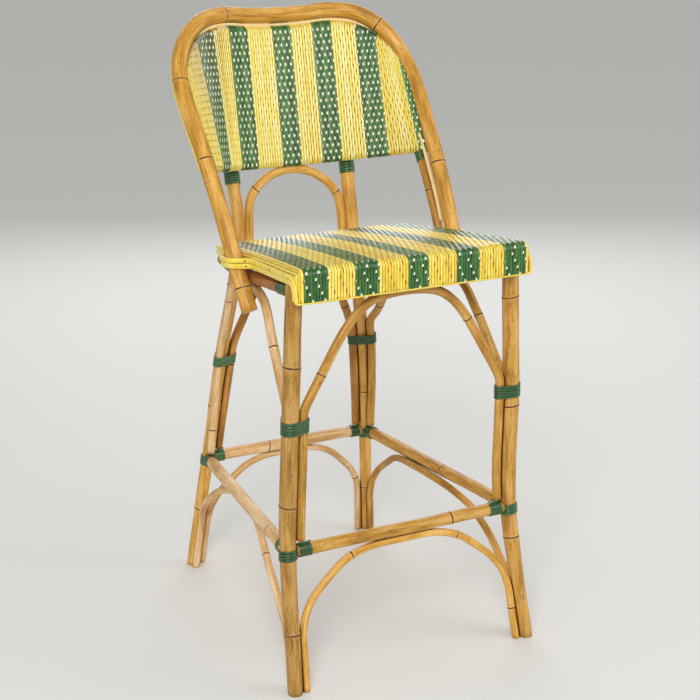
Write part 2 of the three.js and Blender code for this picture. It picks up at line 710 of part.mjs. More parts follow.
const hoopCutter = grown(hoopCurve, RADII.hoop * (1 + NODE.swell) + GAP, 36);
const rearLegCutters = Object.values(rearLegs).map((c) => grown(c, RADII.rearLegTop * (1 + NODE.swell) + GAP, 16));
const postCutters = Object.values(sidePosts).map((c) => grown(c, RADII.sidePost + GAP, 6));
add("seat_weave", cut(seatSheet(), [hoopCutter, ...rearLegCutters, ...postCutters]), STRIPED);

// The edge bands: two half-round canes round the sides of the seat, one of which runs on under the apron.

const bandLie = BAND.thickness / 2 + LEAN + GAP;

// The run of a band on the left: along the side of the seat, out round the hoop, and down the end of the apron.
function bandPath(below, turnRadius) {
  const path = [];
  const put = (x, y, z, outward, across) => path.push({ centre: vec(-x, y, z), outward, across });
  const lie = bandLie;
  const turnY = SEAT.frontY + BAND.turn + 1.5 * BAND.width + 2 * GAP;
  const hoopHere = hoopCurve.getPointAt(hoopShareAt(bandZ(hoopAtSeat.y, below)));
  const swing = hoopHere.x + RADII.hoop * (1 + NODE.swell) + BAND.thickness / 2 + 2 * GAP;
  const rearY = SEAT.rearY - rollRadius;
  const out = vec(-1, 0, 0);
  const bulgeY = hoopHere.y + BAND.bulgeBack;
  const round = Array.from({ length: 11 }, (_, i) => bulgeY + ((5 - i) / 4) * BAND.bulge);
  const behind = [0, 1, 2].map((i) => lerp(rearY, round[0], i / 3));
  const before = [1, 2, 3].map((i) => lerp(round[round.length - 1], turnY, i / 3));
  for (const y of [...behind, ...round, ...before]) {
    const bulge = Math.exp(-(((y - bulgeY) / BAND.bulge) ** 4));
    put(lerp(halfWidth(y) + lie, swing, bulge), y, bandZ(y, below), out, vec(0, 0, 1));
  }
  const low = bandZ(turnY, below);
  for (let i = 1; i <= 6; i++) {
    const angle = (i / 6) * (Math.PI / 2);
    const y = turnY - turnRadius * Math.sin(angle);
    const z = low - turnRadius * (1 - Math.cos(angle));
    put(halfWidth(y) + lie, y, z, out, vec(0, -Math.sin(angle), Math.cos(angle)));
  }
  return path;
}

const bandRings = (path) => path.map((p) => bandRing(p.centre, p.outward, p.across));
const mirroredRings = (rings) => rings.map((points) => points.map((p) => vec(-p.x, p.y, p.z))).reverse();

function outerBand() {
  const lie = bandLie;
  const path = bandPath(0, BAND.turn + BAND.apart);
  const { x, y } = path[path.length - 1].centre;
  const z = HEIGHTS.apronBottom;
  const across = vec(0, -1, 0);
  path.push({ centre: vec(x, y, z), outward: vec(-1, 0, 0), across });
  path.push({ centre: vec(x + lie / 2, y, z - lie / 2), outward: vec(-1, 0, -1).normalize(), across });
  path.push({ centre: vec(x + 2 * lie, y, z - lie), outward: vec(0, 0, -1), across });
  const rings = bandRings(path);
  return loft([...rings, ...mirroredRings(rings)]);
}
add("seat_band_outer", outerBand(), YELLOW);

function innerBand() {
  const path = bandPath(BAND.apart, BAND.turn);
  const { x, y } = path[path.length - 1].centre;
  path.push({ centre: vec(x, y, HEIGHTS.apronBottom), outward: vec(-1, 0, 0), across: vec(0, -1, 0) });
  return bandRings(path);
}
add("seat_band_inner_left", loft(innerBand()), YELLOW);
add("seat_band_inner_right", loft(mirroredRings(innerBand())), YELLOW);

// The bottom rail of the back, bowed from one side post to the other in front of the two rear legs.

const postRadius = rearRadius(BACK.railSideZ);
const onPost = atHeight(rearLegs.right, HEIGHTS.backBottom);
const railHalf = [
  atHeight(sidePosts.right, BACK.railSideZ),
  vec(onPost.x, onPost.y - postRadius - RADII.backRail - 2 * LEAN, lerp(HEIGHTS.backBottom, BACK.railSideZ, BACK.dipShare)),
  vec(0, BACK.middleY, HEIGHTS.backBottom),
];
const mirrored = (points) => points.map((p) => vec(-p.x, p.y, p.z));
const backRailCurve = through([...mirrored(railHalf), ...railHalf.slice(0, -1).reverse()]);
const backRail = pole(backRailCurve, RADII.backRail, RADII.backRail, 16, { sides: THIN_SIDES });
const fitted = Object.values(sidePosts).map((c) => grown(c, RADII.sidePost + GAP, 6));
add("back_bottom_rail", cut(backRail, fitted), HONEY);

// The small arch between the rear legs, below the back.

function smallArch() {
  const half = (z) => atHeight(rearLegs.right, z).x - rearRadius(z) - RADII.smallArch - LEAN - GAP;
  const lean = (z) => atHeight(rearLegs.right, z).y;
  const rise = HEIGHTS.backBottom - RADII.backRail - RADII.smallArch - 2 * GAP;
  const start = ARCHES.smallStart;
  const over = SMALL_SHARES.map(([spanShare, riseShare]) => {
    const z = lerp(start, rise, riseShare);
    return vec(half(start) * spanShare, lean(z), z);
  });
  const foot = vec(half(ARCHES.smallFoot), lean(ARCHES.smallFoot), ARCHES.smallFoot);
  const side = [foot, ...over];
  return through([...mirrored(side), ...side.slice(0, -1).reverse()]);
}
add("back_small_arch", pole(smallArch(), RADII.smallArch, RADII.smallArch, 18, { joints: [0.3] }), HONEY);

// The woven back: a ruled skin from the bottom rail up to the hoop.

const BACK_COLUMNS = 20;
const BACK_ROWS = 4;
const sideShare = hoopShareAt(BACK.railSideZ);
const bottomSide = hoopCurve.getPointAt(sideShare);
const bottomHalf = [bottomSide, ...railHalf.slice(1).map((p) => p.clone().setY(p.y - RADII.backRail - BACK.weave / 2 - GAP))];
const bottomCurve = through([...mirrored(bottomHalf), ...bottomHalf.slice(0, -1).reverse()]);

function backPoint(u, v) {
  const span = (BACK.weaveTopShare * (2 * u - 1)) / 2;
  const top = hoopCurve.getPointAt(0.5 + span);
  const bottom = bottomCurve.getPointAt(u);
  bottom.z -= RADII.backRail;
  return bottom.lerp(top, v);
}

function backSheet() {
  const step = 0.01;
  return sheet(BACK_COLUMNS, BACK_ROWS, (u, v) => {
    const across = backPoint(Math.min(1, u + step), v).sub(backPoint(Math.max(0, u - step), v));
    const up = backPoint(u, Math.min(1, v + step)).sub(backPoint(u, Math.max(0, v - step)));
    const normal = across.cross(up).normalize();
    const point = backPoint(u, v).addScaledVector(normal, BACK.forward + BACK.weave / 2);
    return { point, normal, thickness: BACK.weave };
  });
}
const backFrame = [grown(backRailCurve, RADII.backRail + GAP, 16), beading(RADII.bead + 2 * GAP)];

// The room that the binding of each side post takes.
const sideBindingZ = BACK.railSideZ - RADII.backRail - halfTurns(TURNS.sidePost) - 2 * RADII.strand;
const sideBindingReach = halfTurns(TURNS.sidePost) + 2 * RADII.strand;
const besideBindings = Object.values(sidePosts).map((curve) => {
  const ends = [-1, 1].map((way) => atHeight(curve, sideBindingZ + way * sideBindingReach));
  return grown(straight(...ends), windingReach(RADII.sidePost) + GAP, 1);
});
const backCutters = [...besideBindings, hoopCutter, ...rearLegCutters, ...postCutters, ...backFrame];
add("back_weave", cut(backSheet(), backCutters), STRIPED);

// Windings: each is one unbroken strand laid in a helix round the poles that it binds.

// The outline of a taut loop round circles, as points with their outward angles.
function tautLoop(circles) {
  const fine = 720;
  const supportOf = (angle) =>
    circles
      .map((c, i) => ({ i, reach: c.x * Math.cos(angle) + c.y * Math.sin(angle) + c.radius }))
      .sort((a, b) => b.reach - a.reach)[0].i;
  const owners = Array.from({ length: fine }, (_, k) => supportOf(((k + 0.5) / fine) * 2 * Math.PI));
  let first = owners.findIndex((owner, k) => owner !== owners[(k + fine - 1) % fine]);
  if (first < 0) first = 0;
  const runs = [];
  for (let k = 0; k < fine; k++) {
    const owner = owners[(first + k) % fine];
    const lastRun = runs[runs.length - 1];
    if (lastRun && lastRun.owner === owner) lastRun.to = k + 1;
    else runs.push({ owner, from: k, to: k + 1 });
  }
  return runs.flatMap(({ owner, from, to }, r) => {
    const start = ((first + from) / fine) * 2 * Math.PI;
    const sweep = ((to - from) / fine) * 2 * Math.PI;
    const steps = Math.ceil(sweep / WINDING.stepAngle - 0.01);
    const circle = circles[owner];
    const reach = circle.radius / Math.cos(sweep / steps / 2);
    const count = runs.length === 1 ? steps : steps + 1;
    return Array.from({ length: count }, (_, k) => {
      const angle = start + (sweep * k) / steps;
      return { angle, x: circle.x + reach * Math.cos(angle), y: circle.y + reach * Math.sin(angle) };
    });
  });
}

// The least distance between points of a path and its later stretches, apart by at least a share of a loop.
function leastGap(middles, apart) {
  let least = Infinity;
  const nearest = vec(0, 0, 0);
  middles.forEach((point, i) => {
    for (let j = i + apart; j + 1 < middles.length; j++) {
      new THREE.Line3(middles[j], middles[j + 1]).closestPointToPoint(point, true, nearest);
      least = Math.min(least, nearest.distanceTo(point));
    }
  });
  return least;
}

const clearances = [];
function winding(name, centre, axis, members, turns) {
  const e1 = Math.abs(axis.z) > Math.SQRT1_2 ? vec(1, 0, 0) : vec(0, 0, 1);
  e1.addScaledVector(axis, -e1.dot(axis)).normalize();
  const e2 = axis.clone().cross(e1);
  const circles = members.map(({ point, radius }) => {
    const d = point.clone().sub(centre);
    return { x: d.dot(e1), y: d.dot(e2), radius: radius + WINDING.clear + RADII.strand };
  });
  const loop = tautLoop(circles);
  const base = loop[0].angle;
  const path = [];
  for (let turn = 0; turn < turns; turn++)
    for (const p of loop) {
      const climbed = turn + (p.angle - base) / (2 * Math.PI);
      path.push({ ...p, rise: (climbed - turns / 2) * WINDING.pitch });
    }
  const rings = path.map((p) => {
    const middle = centre.clone().addScaledVector(e1, p.x).addScaledVector(e2, p.y).addScaledVector(axis, p.rise);
    const outward = e1.clone().multiplyScalar(Math.cos(p.angle)).addScaledVector(e2, Math.sin(p.angle));
    return ring(middle, outward, axis.clone().negate(), RADII.strand, 4);
  });
  const middles = path.map((p) => vec(p.x, p.y, p.rise));
  clearances.push(leastGap(middles, Math.ceil(loop.length / 2)) - 2 * RADII.strand);
  add(name, loft(rings), GREEN);
}

// The direction of a leg or post over the height of a winding on it.
const chordAt = (curve, z, turns) =>
  atHeight(curve, z + halfTurns(turns)).sub(atHeight(curve, z - halfTurns(turns))).normalize();
const opposite = (word) => (word === "left" ? "right" : "left");

for (const [word] of SIDES) {
  const braced = [["front", HEIGHTS.frontWrap, TURNS.frontBrace], ["rear", HEIGHTS.rearWrap, TURNS.rearBrace]];
  for (const [end, z, turns] of braced) {
    const leg = corner[`${end}_${word}`];
    const across = corner[`${end}_${opposite(word)}`];
    const along = corner[`${end === "front" ? "rear" : "front"}_${word}`];
    const centre = atHeight(leg.curve, z);
    const turn = end === "rear" ? turnAt(z) : 0;
    const places = [beside(leg, across, z, RADII.upperArch), beside(leg, along, z, RADII.upperArch, turn)];
    const braces = places.map((point) => ({ point, radius: RADII.upperArch }));
    const members = [{ point: centre, radius: leg.radiusAt(z) }, ...braces];
    winding(`winding_brace_${end}_${word}`, centre, chordAt(leg.curve, z, turns), members, turns);

    const low = HEIGHTS.footRail - WINDING.pitch;
    const on = atHeight(leg.curve, low);
    const alone = [{ point: on, radius: leg.radiusAt(low) + GAP }];
    winding(`winding_leg_${end}_${word}`, on, chordAt(leg.curve, low, TURNS.leg), alone, TURNS.leg);
  }
}

function railWinding(name, start, end, radius, from, turns) {
  const axis = end.clone().sub(start).normalize();
  const centre = start.clone().addScaledVector(axis, from + halfTurns(turns) + RADII.strand + GAP);
  winding(name, centre, axis, [{ point: centre, radius }], turns);
}

const RAIL_TURNS = { front: [TURNS.frontRail, TURNS.frontRail], rear: [TURNS.rearRail, TURNS.rearRail] };
const SIDE_TURNS = [TURNS.sideRailFront, TURNS.sideRailRear];
for (const [where, ends] of Object.entries(RAIL_RUNS)) {
  const [a, b] = ends.map((key) => corner[key]);
  const points = [a, b].map((leg) => atHeight(leg.curve, HEIGHTS.footRail));
  const turns = RAIL_TURNS[where] || SIDE_TURNS;
  [0, 1].forEach((i) => {
    const leg = [a, b][i];
    const from = windingReach(leg.radiusAt(HEIGHTS.footRail)) + GAP;
    railWinding(`winding_rail_${where}_at_${ends[i]}`, points[i], points[1 - i], RADII.footRail, from, turns[i]);
  });
}

for (const [word, side] of SIDES) {
  const top = HEIGHTS.backBottom - RADII.backRail - halfTurns(TURNS.post) - RADII.strand - LEAN;
  const post = atHeight(rearLegs[word], top);
  const postAlone = [{ point: post, radius: rearRadius(top) }];
  winding(`winding_post_${word}`, post, chordAt(rearLegs[word], top, TURNS.post), postAlone, TURNS.post);

  const high = sideBindingZ;
  const sidePost = atHeight(sidePosts[word], high);
  const around = [{ point: sidePost, radius: RADII.sidePost }];
  winding(`winding_side_post_${word}`, sidePost, chordAt(sidePosts[word], high, TURNS.sidePost), around, TURNS.sidePost);

  const [start, end] = [FRONT_LEG.topY, SIDE_RAIL.straightTo].map((y) => onSide(side, sideRailPoint(y)));
  railWinding(`winding_seat_rail_${word}`, start, end, RADII.seatRail, frontRadius(legTopZ) + 2 * GAP, TURNS.seatRail);
}

// The finished chair is centred over the origin.
const middle = new THREE.Box3().setFromObject(chair).getCenter(vec(0, 0, 0));
for (const mesh of chair.children) mesh.geometry.translate(-middle.x, -middle.y, 0);

console.log(`least gap from loop to loop in the windings: ${Math.min(...clearances).toFixed(2)} mm`);

export default chair;
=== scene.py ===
import itertools
import math

import bpy
import numpy as np
from mathutils import Matrix, Vector


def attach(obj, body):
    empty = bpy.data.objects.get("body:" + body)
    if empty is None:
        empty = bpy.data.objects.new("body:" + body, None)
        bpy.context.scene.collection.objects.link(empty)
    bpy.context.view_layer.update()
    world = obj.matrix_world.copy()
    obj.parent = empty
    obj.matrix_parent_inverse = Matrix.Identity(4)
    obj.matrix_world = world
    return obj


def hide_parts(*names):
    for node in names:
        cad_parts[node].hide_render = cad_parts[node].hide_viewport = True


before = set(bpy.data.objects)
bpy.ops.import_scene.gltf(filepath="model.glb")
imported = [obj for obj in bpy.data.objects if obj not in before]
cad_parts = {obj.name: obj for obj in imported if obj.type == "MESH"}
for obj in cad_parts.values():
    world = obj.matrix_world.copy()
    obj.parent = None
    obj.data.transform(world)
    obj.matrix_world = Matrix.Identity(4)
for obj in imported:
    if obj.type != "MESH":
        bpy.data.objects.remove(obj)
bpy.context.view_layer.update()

# Bar-height rattan bistro chair. Sizes are in millimetres, +Z is up, the front faces -Y and the left is -X. Depth is
# counted from a line before the middle, and every mesh is moved over the origin and turned to metres when it is made.
MM = 0.001
LINE_TO_MIDDLE = 37.15
rng = np.random.default_rng(7)

# Heights, depths and half widths.
FOOT_RAIL_Z = 246
FRONT_WRAP_Z = 476
REAR_WRAP_Z = 461
FRONT_LEG_TOP_Z = 724.5
FRONT_LEG_TOP_Y = -213
FRONT_LEG_TOP_HALF = 209
REAR_LEG_SEAT_Y = 228
BACK_WRAP_Z = 814
REAR_LEG_TOP_Z = 1088
SEAT_FRONT_Z = 759.5
SEAT_FRONT_Y = -257.5
SEAT_REAR_Y = 165
SEAT_SLOPE = 0.111
SEAT_CROWN = 4
SEAT_FRONT_HALF = 222
SEAT_REAR_HALF = 192
SEAT_ROLL = 11.9
APRON_BOTTOM_Z = 704
FRONT_RAIL_DROP = 36
SIDE_RAIL_DROP = 43
REAR_RAIL_DROP = 32
PANEL_BOTTOM_Z = 838
PANEL_SIDE_Z = 870
POST_TOP_Z = 876
SMALL_ARCH_FOOT_Z = 684
SMALL_ARCH_BEND_Z = 748

# Radii of the poles.
FRONT_LEG_TOP_R = 14.5
FRONT_LEG_FOOT_R = 13
FRONT_LEG_BELLY = 1.6
REAR_LEG_FOOT_R = 12
REAR_LEG_TOP_R = 14
REAR_LEFT_TOP_R = 12.2  # this one is a slimmer pole
FOOT_RAIL_R = 11.5
UPPER_ARCH_R = 8.2
LOWER_ARCH_R = 7
SEAT_RAIL_R = 10.5
HOOP_R = 14.5
SIDE_POST_R = 8.4
SMALL_ARCH_R = 8.8
PANEL_RAIL_R = 8
BEAD_R = 3.2

# Flat canes, and the clearances between pieces.
BINDING_R = 2.2
BINDING_PITCH = 4.95
BINDING_THICK = 1.7
BAND_WIDTH = 9.1
BAND_THICK = 4
BAND_DROP = 16
BAND_APART = 9.2
BAND_SLOPE = 0.085
GAP = 0.3
LEAN = 0.6  # between two poles that touch at a slant


def seat_top(y):
    return SEAT_FRONT_Z - SEAT_SLOPE * (y - SEAT_FRONT_Y)


def band_z(y, below):
    """The height of an edge band: the upper one, or a length below it."""
    return SEAT_FRONT_Z - BAND_DROP - BAND_SLOPE * (y - SEAT_FRONT_Y) - below


def half_width(y):
    share = (y - SEAT_FRONT_Y) / (SEAT_REAR_Y - SEAT_FRONT_Y)
    return SEAT_FRONT_HALF + (SEAT_REAR_HALF - SEAT_FRONT_HALF) * share


# Paths.

def unit(v):
    return v / np.linalg.norm(v)


def lengths_along(points):
    """How far along a line each of its points lies."""
    return np.concatenate([[0], np.cumsum(np.linalg.norm(np.diff(points, axis=0), axis=1))])


class Path:
    """A smooth bent line through points, walked by its length."""

    def __init__(self, points, fine=60):
        p = np.asarray(points, float)
        if len(p) == 2:
            self.p = p[0] + (p[1] - p[0]) * np.linspace(0, 1, fine)[:, None]
        else:
            p = np.vstack([2 * p[0] - p[1], p, 2 * p[-1] - p[-2]])
            made = [self._stretch(p[i:i + 4], fine) for i in range(len(p) - 3)]
            self.p = np.vstack(made + [p[-2][None]])
        self.s = lengths_along(self.p)
        self.length = self.s[-1]

    @staticmethod
    def _stretch(q, fine):
        a, b, c, d = q
        ab, bc, cd = (math.sqrt(np.linalg.norm(v)) for v in (b - a, c - b, d - c))
        leave = ((b - a) / ab - (c - a) / (ab + bc) + (c - b) / bc) * bc
        arrive = ((c - b) / bc - (d - b) / (bc + cd) + (d - c) / cd) * bc
        t = np.linspace(0, 1, fine, endpoint=False)[:, None]
        return b + leave * t + (3 * (c - b) - 2 * leave - arrive) * t**2 + (2 * (b - c) + leave + arrive) * t**3

    def at(self, s):
        s = np.clip(s, 0, self.length)
        return np.stack([np.interp(s, self.s, self.p[:, k]) for k in range(3)], axis=-1)

    def tangent(self, s):
        s = min(max(s, 0.5), self.length - 0.5)
        return unit(self.at(s + 0.5) - self.at(s - 0.5))

    def length_at_height(self, z):
        """Where a rising line passes a height."""
        return float(np.interp(z, self.p[:, 2], self.s))

    def at_height(self, z):
        return self.at(self.length_at_height(z))

    def tangent_at_height(self, z):
        return self.tangent(self.length_at_height(z))


def mirrored(points):
    return [(-x, y, z) for x, y, z in points]


def both_halves(half):
    """The points of a symmetric line from those of its right half, which end in the middle."""
    return mirrored(half) + half[:-1][::-1]


# Meshes. A mesh is gathered ring by ring, with where each point lies on its cane: round it, along it, its own tone,
# how near it is to a joint of the cane, and how much painted shade it takes in a crevice beside a neighbour.

class Skein:
    def __init__(self):
        self.points, self.faces, self.inks, self.lay, self.joint, self.groove = [], [], [], [], [], []
        self.count = 0

    def loft(self, rings, around, along, tone=0.0, ink=0, joint=0.0, groove=0.0):
        """A closed skin over rings; ink is one material's number, or one for each stretch between two rings."""
        rings = np.asarray(rings, float)
        n, m, _ = rings.shape
        base = self.count
        self.points.append(rings.reshape(-1, 3))
        lay = np.empty((n, m, 3))
        lay[:, :, 0] = np.asarray(around)[None, :]
        lay[:, :, 1] = np.asarray(along)[:, None]
        lay[:, :, 2] = tone
        self.lay.append(lay.reshape(-1, 3))
        self.joint.append(np.broadcast_to(joint, (n, m)).reshape(-1))
        self.groove.append(np.broadcast_to(groove, (n, m)).reshape(-1))
        self.count += n * m
        inks = list(ink) if hasattr(ink, "__len__") else [ink] * (n - 1)
        for i in range(n - 1):
            for j in range(m):
                a = base + i * m + j
                b = base + i * m + (j + 1) % m
                self.faces.append((a, b, b + m, a + m))
                self.inks.append(inks[i])
        self.faces.append(tuple(base + j for j in range(m))[::-1])
        self.faces.append(tuple(base + (n - 1) * m + j for j in range(m)))
        self.inks += [inks[0], inks[-1]]

    def piece(self, name, materials, node_name=None, slot=None):
        """Makes the object. It stands for one node of the frame, with others or alone, or for none."""
        points = np.vstack(self.points)
        points[:, 1] -= LINE_TO_MIDDLE
        mesh = bpy.data.meshes.new(name)
        mesh.from_pydata((points * MM).tolist(), [], self.faces)
        for material in materials:
            mesh.materials.append(material)
        mesh.polygons.foreach_set("material_index", self.inks)
        mesh.polygons.foreach_set("use_smooth", [True] * len(self.faces))
        lay = mesh.attributes.new("lay", "FLOAT_VECTOR", "POINT")
        lay.data.foreach_set("vector", np.vstack(self.lay).astype(np.float32).ravel())
        # groove carries painted shade: where poles meet, at strands' edges, between binding turns and in weave gaps.
        for word, values in (("joint", self.joint), ("groove", self.groove)):
            attribute = mesh.attributes.new(word, "FLOAT", "POINT")
            attribute.data.foreach_set("value", np.concatenate(values).astype(np.float32))
        mesh.update()
        made = bpy.data.objects.new(name, mesh)
        bpy.context.scene.collection.objects.link(made)
        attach(made, "root")
        if node_name:
            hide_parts(node_name)


def lone_cane(name, look, node_name, slot, rings, around, along, **more):
    """A piece of one cane."""
    skein = Skein()
    skein.loft(rings, around * MM, along * MM, **more)
    skein.piece(name, [look], node_name, slot)


def frames_along(path, stations):
    """The tangent, right and up directions along a bent line, without twisting."""
    tangents = [path.tangent(s) for s in stations]
    right = np.array((1, 0, 0) if abs(tangents[0][0]) < 0.7 else (0, 1, 0), float)
    out = []
    for t in tangents:
        right = unit(right - t * np.dot(right, t))
        out.append((t, right, np.cross(t, right)))
    return out


def turns_of(sides):
    return np.arange(sides) / sides * 2 * math.pi


def round_section(sides):
    angle = turns_of(sides)
    return np.stack([np.cos(angle), np.sin(angle)], axis=1)


# Poles. A pole has a ring, a pinch and a shoulder at each joint, given as distances from it and shares of the radius.

JOINT_STEPS = (-13, -8, -5, -3, -1.6, -0.8, 0, 0.8, 1.6, 3, 5, 8, 13)
LEAST_STEP = 0.6
RING_SWELL, RING_REACH = 0.05, 3.0
PINCH, PINCH_AT, PINCH_REACH = 0.022, 6.5, 4.0
SHOULDER, SHOULDER_REACH = 0.02, 14.0
CUT, CUT_REACH = 0.02, 0.9
MARK_REACH = 5.0
JOINT_SLANT = 0.13
UNEVEN = 0.012  # how much the thickness and the roundness vary
EASE_LENGTH = 40.0  # over this length from an end a pole comes back to its line
# Over this distance from a neighbouring pole, painted shade darkens a pole's seam.
SEAM_SHADE_REACH = 6.0


def hump(x, reach):
    return np.exp(-((x / reach) ** 2))


def wander(length, reach, rough):
    """A slow, small, random drift along a cane, as a function of the distance along it."""
    knots = max(3, int(length / reach) + 2)
    values = rng.normal(0, rough, knots)
    return lambda s: float(np.interp(s, np.linspace(0, length, knots), values))


def seam(rings, against):
    """How near each point of a pole comes to the poles that lie against it, 1 where they touch: the share of painted
    shade in its seam.
    """
    flat = rings.reshape(-1, 3)
    gap = np.full(len(flat), SEAM_SHADE_REACH)
    for line, radius in against:
        beads = line.at(np.arange(0, line.length, 4))
        for k in range(0, len(flat), 500):
            away = np.linalg.norm(flat[k:k + 500, None, :] - beads[None, :, :], axis=2).min(axis=1)
            gap[k:k + 500] = np.minimum(gap[k:k + 500], away - radius)
    return np.clip(1 - gap / SEAM_SHADE_REACH, 0, 1).reshape(rings.shape[:2])


def coped(ring, towards, cope):
    """A pole's last ring, shaped to the pole that it butts against: a point on its axis, its axis, a radius."""
    axis_point, axis, radius = cope
    flat = unit(towards - axis * np.dot(towards, axis))
    off = (ring - axis_point) @ np.cross(axis, flat)
    want = np.sqrt(np.maximum(radius**2 - off**2, 1.0))
    have = (ring - axis_point) @ flat
    return ring + flat * (want - have)[:, None]


def pole(name, look, node_name, slot, path, start_r, joints, end_r=None, sides=20, step=11.0, bend=0.5, belly=0.0,
         copes=(None, None), trim=(0, 0), against=()):
    """A rattan pole: it swells into a ring at each joint, pinches beside it, and is never quite straight or round."""
    end_r = end_r or start_r
    lo, hi = trim[0], path.length - trim[1]
    marks = np.array([j * path.length for j in joints])
    stations = list(np.linspace(lo, hi, max(3, int((hi - lo) / step) + 1)))
    for mark in marks:
        stations += [mark + d for d in JOINT_STEPS if lo < mark + d < hi]
    stations = np.array(sorted(stations))
    stations = stations[np.concatenate([[True], np.diff(stations) > LEAST_STEP])]
    stations[-1] = hi
    section, angle = round_section(sides), turns_of(sides)
    frames = frames_along(path, stations)
    thick = wander(path.length, 60, UNEVEN)
    drift_right, drift_up = (wander(path.length, 90, bend) for _ in range(2))
    oval, oval_turn = rng.normal(0, UNEVEN), rng.uniform(0, math.pi)
    slant, slant_turn = rng.normal(0, JOINT_SLANT, len(marks)), rng.uniform(0, 2 * math.pi, len(marks))
    rings, near = [], []
    for s, (_, right, up) in zip(stations, frames):
        share = s / path.length
        r = start_r + (end_r - start_r) * share + belly * math.sin(math.pi * share)
        k = np.abs(s - marks).argmin()
        side = s - marks[k] + r * slant[k] * np.cos(angle - slant_turn[k])
        swell = RING_SWELL * hump(side, RING_REACH) - PINCH * hump(side - PINCH_AT, PINCH_REACH)
        swell += SHOULDER * hump(side, SHOULDER_REACH) - CUT * hump(side, CUT_REACH)
        ease = min(1.0, (s - lo) / EASE_LENGTH, (hi - s) / EASE_LENGTH)
        centre = path.at(s) + ease * (right * drift_right(s) + up * drift_up(s))
        radii = r * (1 + swell + thick(s)) * (1 + oval * np.cos(2 * (angle - oval_turn)))
        rings.append(centre + radii[:, None] * (section[:, :1] * right + section[:, 1:] * up))
        near.append(hump(side, MARK_REACH))
    rings = np.array(rings)
    for end, cope in zip((0, -1), copes):
        along = frames[end][0]
        if cope:
            rings[end] = coped(rings[end], along if end == 0 else -along, cope)
        if path.p[end][2] == 0:  # sawn flat on the floor
            rings[end] -= along * (rings[end][:, 2] / along[2])[:, None]
    lone_cane(name, look, node_name, slot, rings, angle * (start_r + end_r) / 2, stations, tone=rng.uniform(0, 1),
              joint=near, groove=seam(rings, against))


# Materials.

def linear(code):
    """An sRGB hex colour as the linear colour that a shader takes."""
    parts = [int(code[i:i + 2], 16) / 255 for i in (1, 3, 5)]
    return tuple(c / 12.92 if c <= 0.04045 else ((c + 0.055) / 1.055) ** 2.4 for c in parts) + (1.0,)


def new_material(name):
    material = bpy.data.materials.new(name)
    material.use_nodes = True
    tree = material.node_tree
    tree.nodes.clear()
    return material, tree, tree.nodes.new("ShaderNodeOutputMaterial")


def node(tree, kind, inputs=None, **settings):
    """Adds a node with its settings; an input is a value or another node's socket."""
    made = tree.nodes.new(kind)
    for key, value in settings.items():
        setattr(made, key, value)
    for key, value in (inputs or {}).items():
        if isinstance(value, bpy.types.NodeSocket):
            tree.links.new(value, made.inputs[key])
        else:
            made.inputs[key].default_value = value
    return made


def math_node(tree, operation, a, b, c=None, **settings):
    inputs = {0: a, 1: b} if c is None else {0: a, 1: b, 2: c}
    return node(tree, "ShaderNodeMath", inputs, operation=operation, **settings).outputs[0]


def attribute(tree, name, output="Fac"):
    return node(tree, "ShaderNodeAttribute", attribute_name=name).outputs[output]


def noise(tree, lay, scale, detail, rough=0.5):
    """Noise on a cane: scale counts per metre round it, per metre along it, and from one cane to the next."""
    at = node(tree, "ShaderNodeMapping", {"Vector": lay, "Scale": scale}).outputs[0]
    inputs = {"Vector": at, "Scale": 1.0, "Detail": detail, "Roughness": rough}
    return node(tree, "ShaderNodeTexNoise", inputs).outputs[0]


def between(tree, value, low, high, to_low=0.0, to_high=1.0):
    return node(tree, "ShaderNodeMapRange", {0: value, 1: low, 2: high, 3: to_low, 4: to_high}).outputs[0]


def blend(tree, share, a, b):
    return node(tree, "ShaderNodeMix", {0: share, 6: a, 7: b}, data_type="RGBA").outputs[2]


def ramp(tree, factor, stops):
    made = node(tree, "ShaderNodeValToRGB", {0: factor})
    band = made.color_ramp
    while len(band.elements) < len(stops):
        band.elements.new(0.5)
    for element, (place, colour) in zip(band.elements, stops):
        element.position = place
        element.color = linear(colour)
    return made.outputs[0]


def shade(tree, out, colour, rough, height, bump, coat, coat_rough, ior):
    """The shader that every cane ends in; bump is its strength and its depth in metres."""
    normal = node(tree, "ShaderNodeBump", {"Height": height, "Strength": bump[0], "Distance": bump[1]}).outputs[0]
    shader = node(tree, "ShaderNodeBsdfPrincipled", {
        "Base Color": colour, "Roughness": rough, "Normal": normal, "Coat Weight": coat, "Coat Roughness": coat_rough,
        "IOR": ior})
    tree.links.new(shader.outputs[0], out.inputs[0])


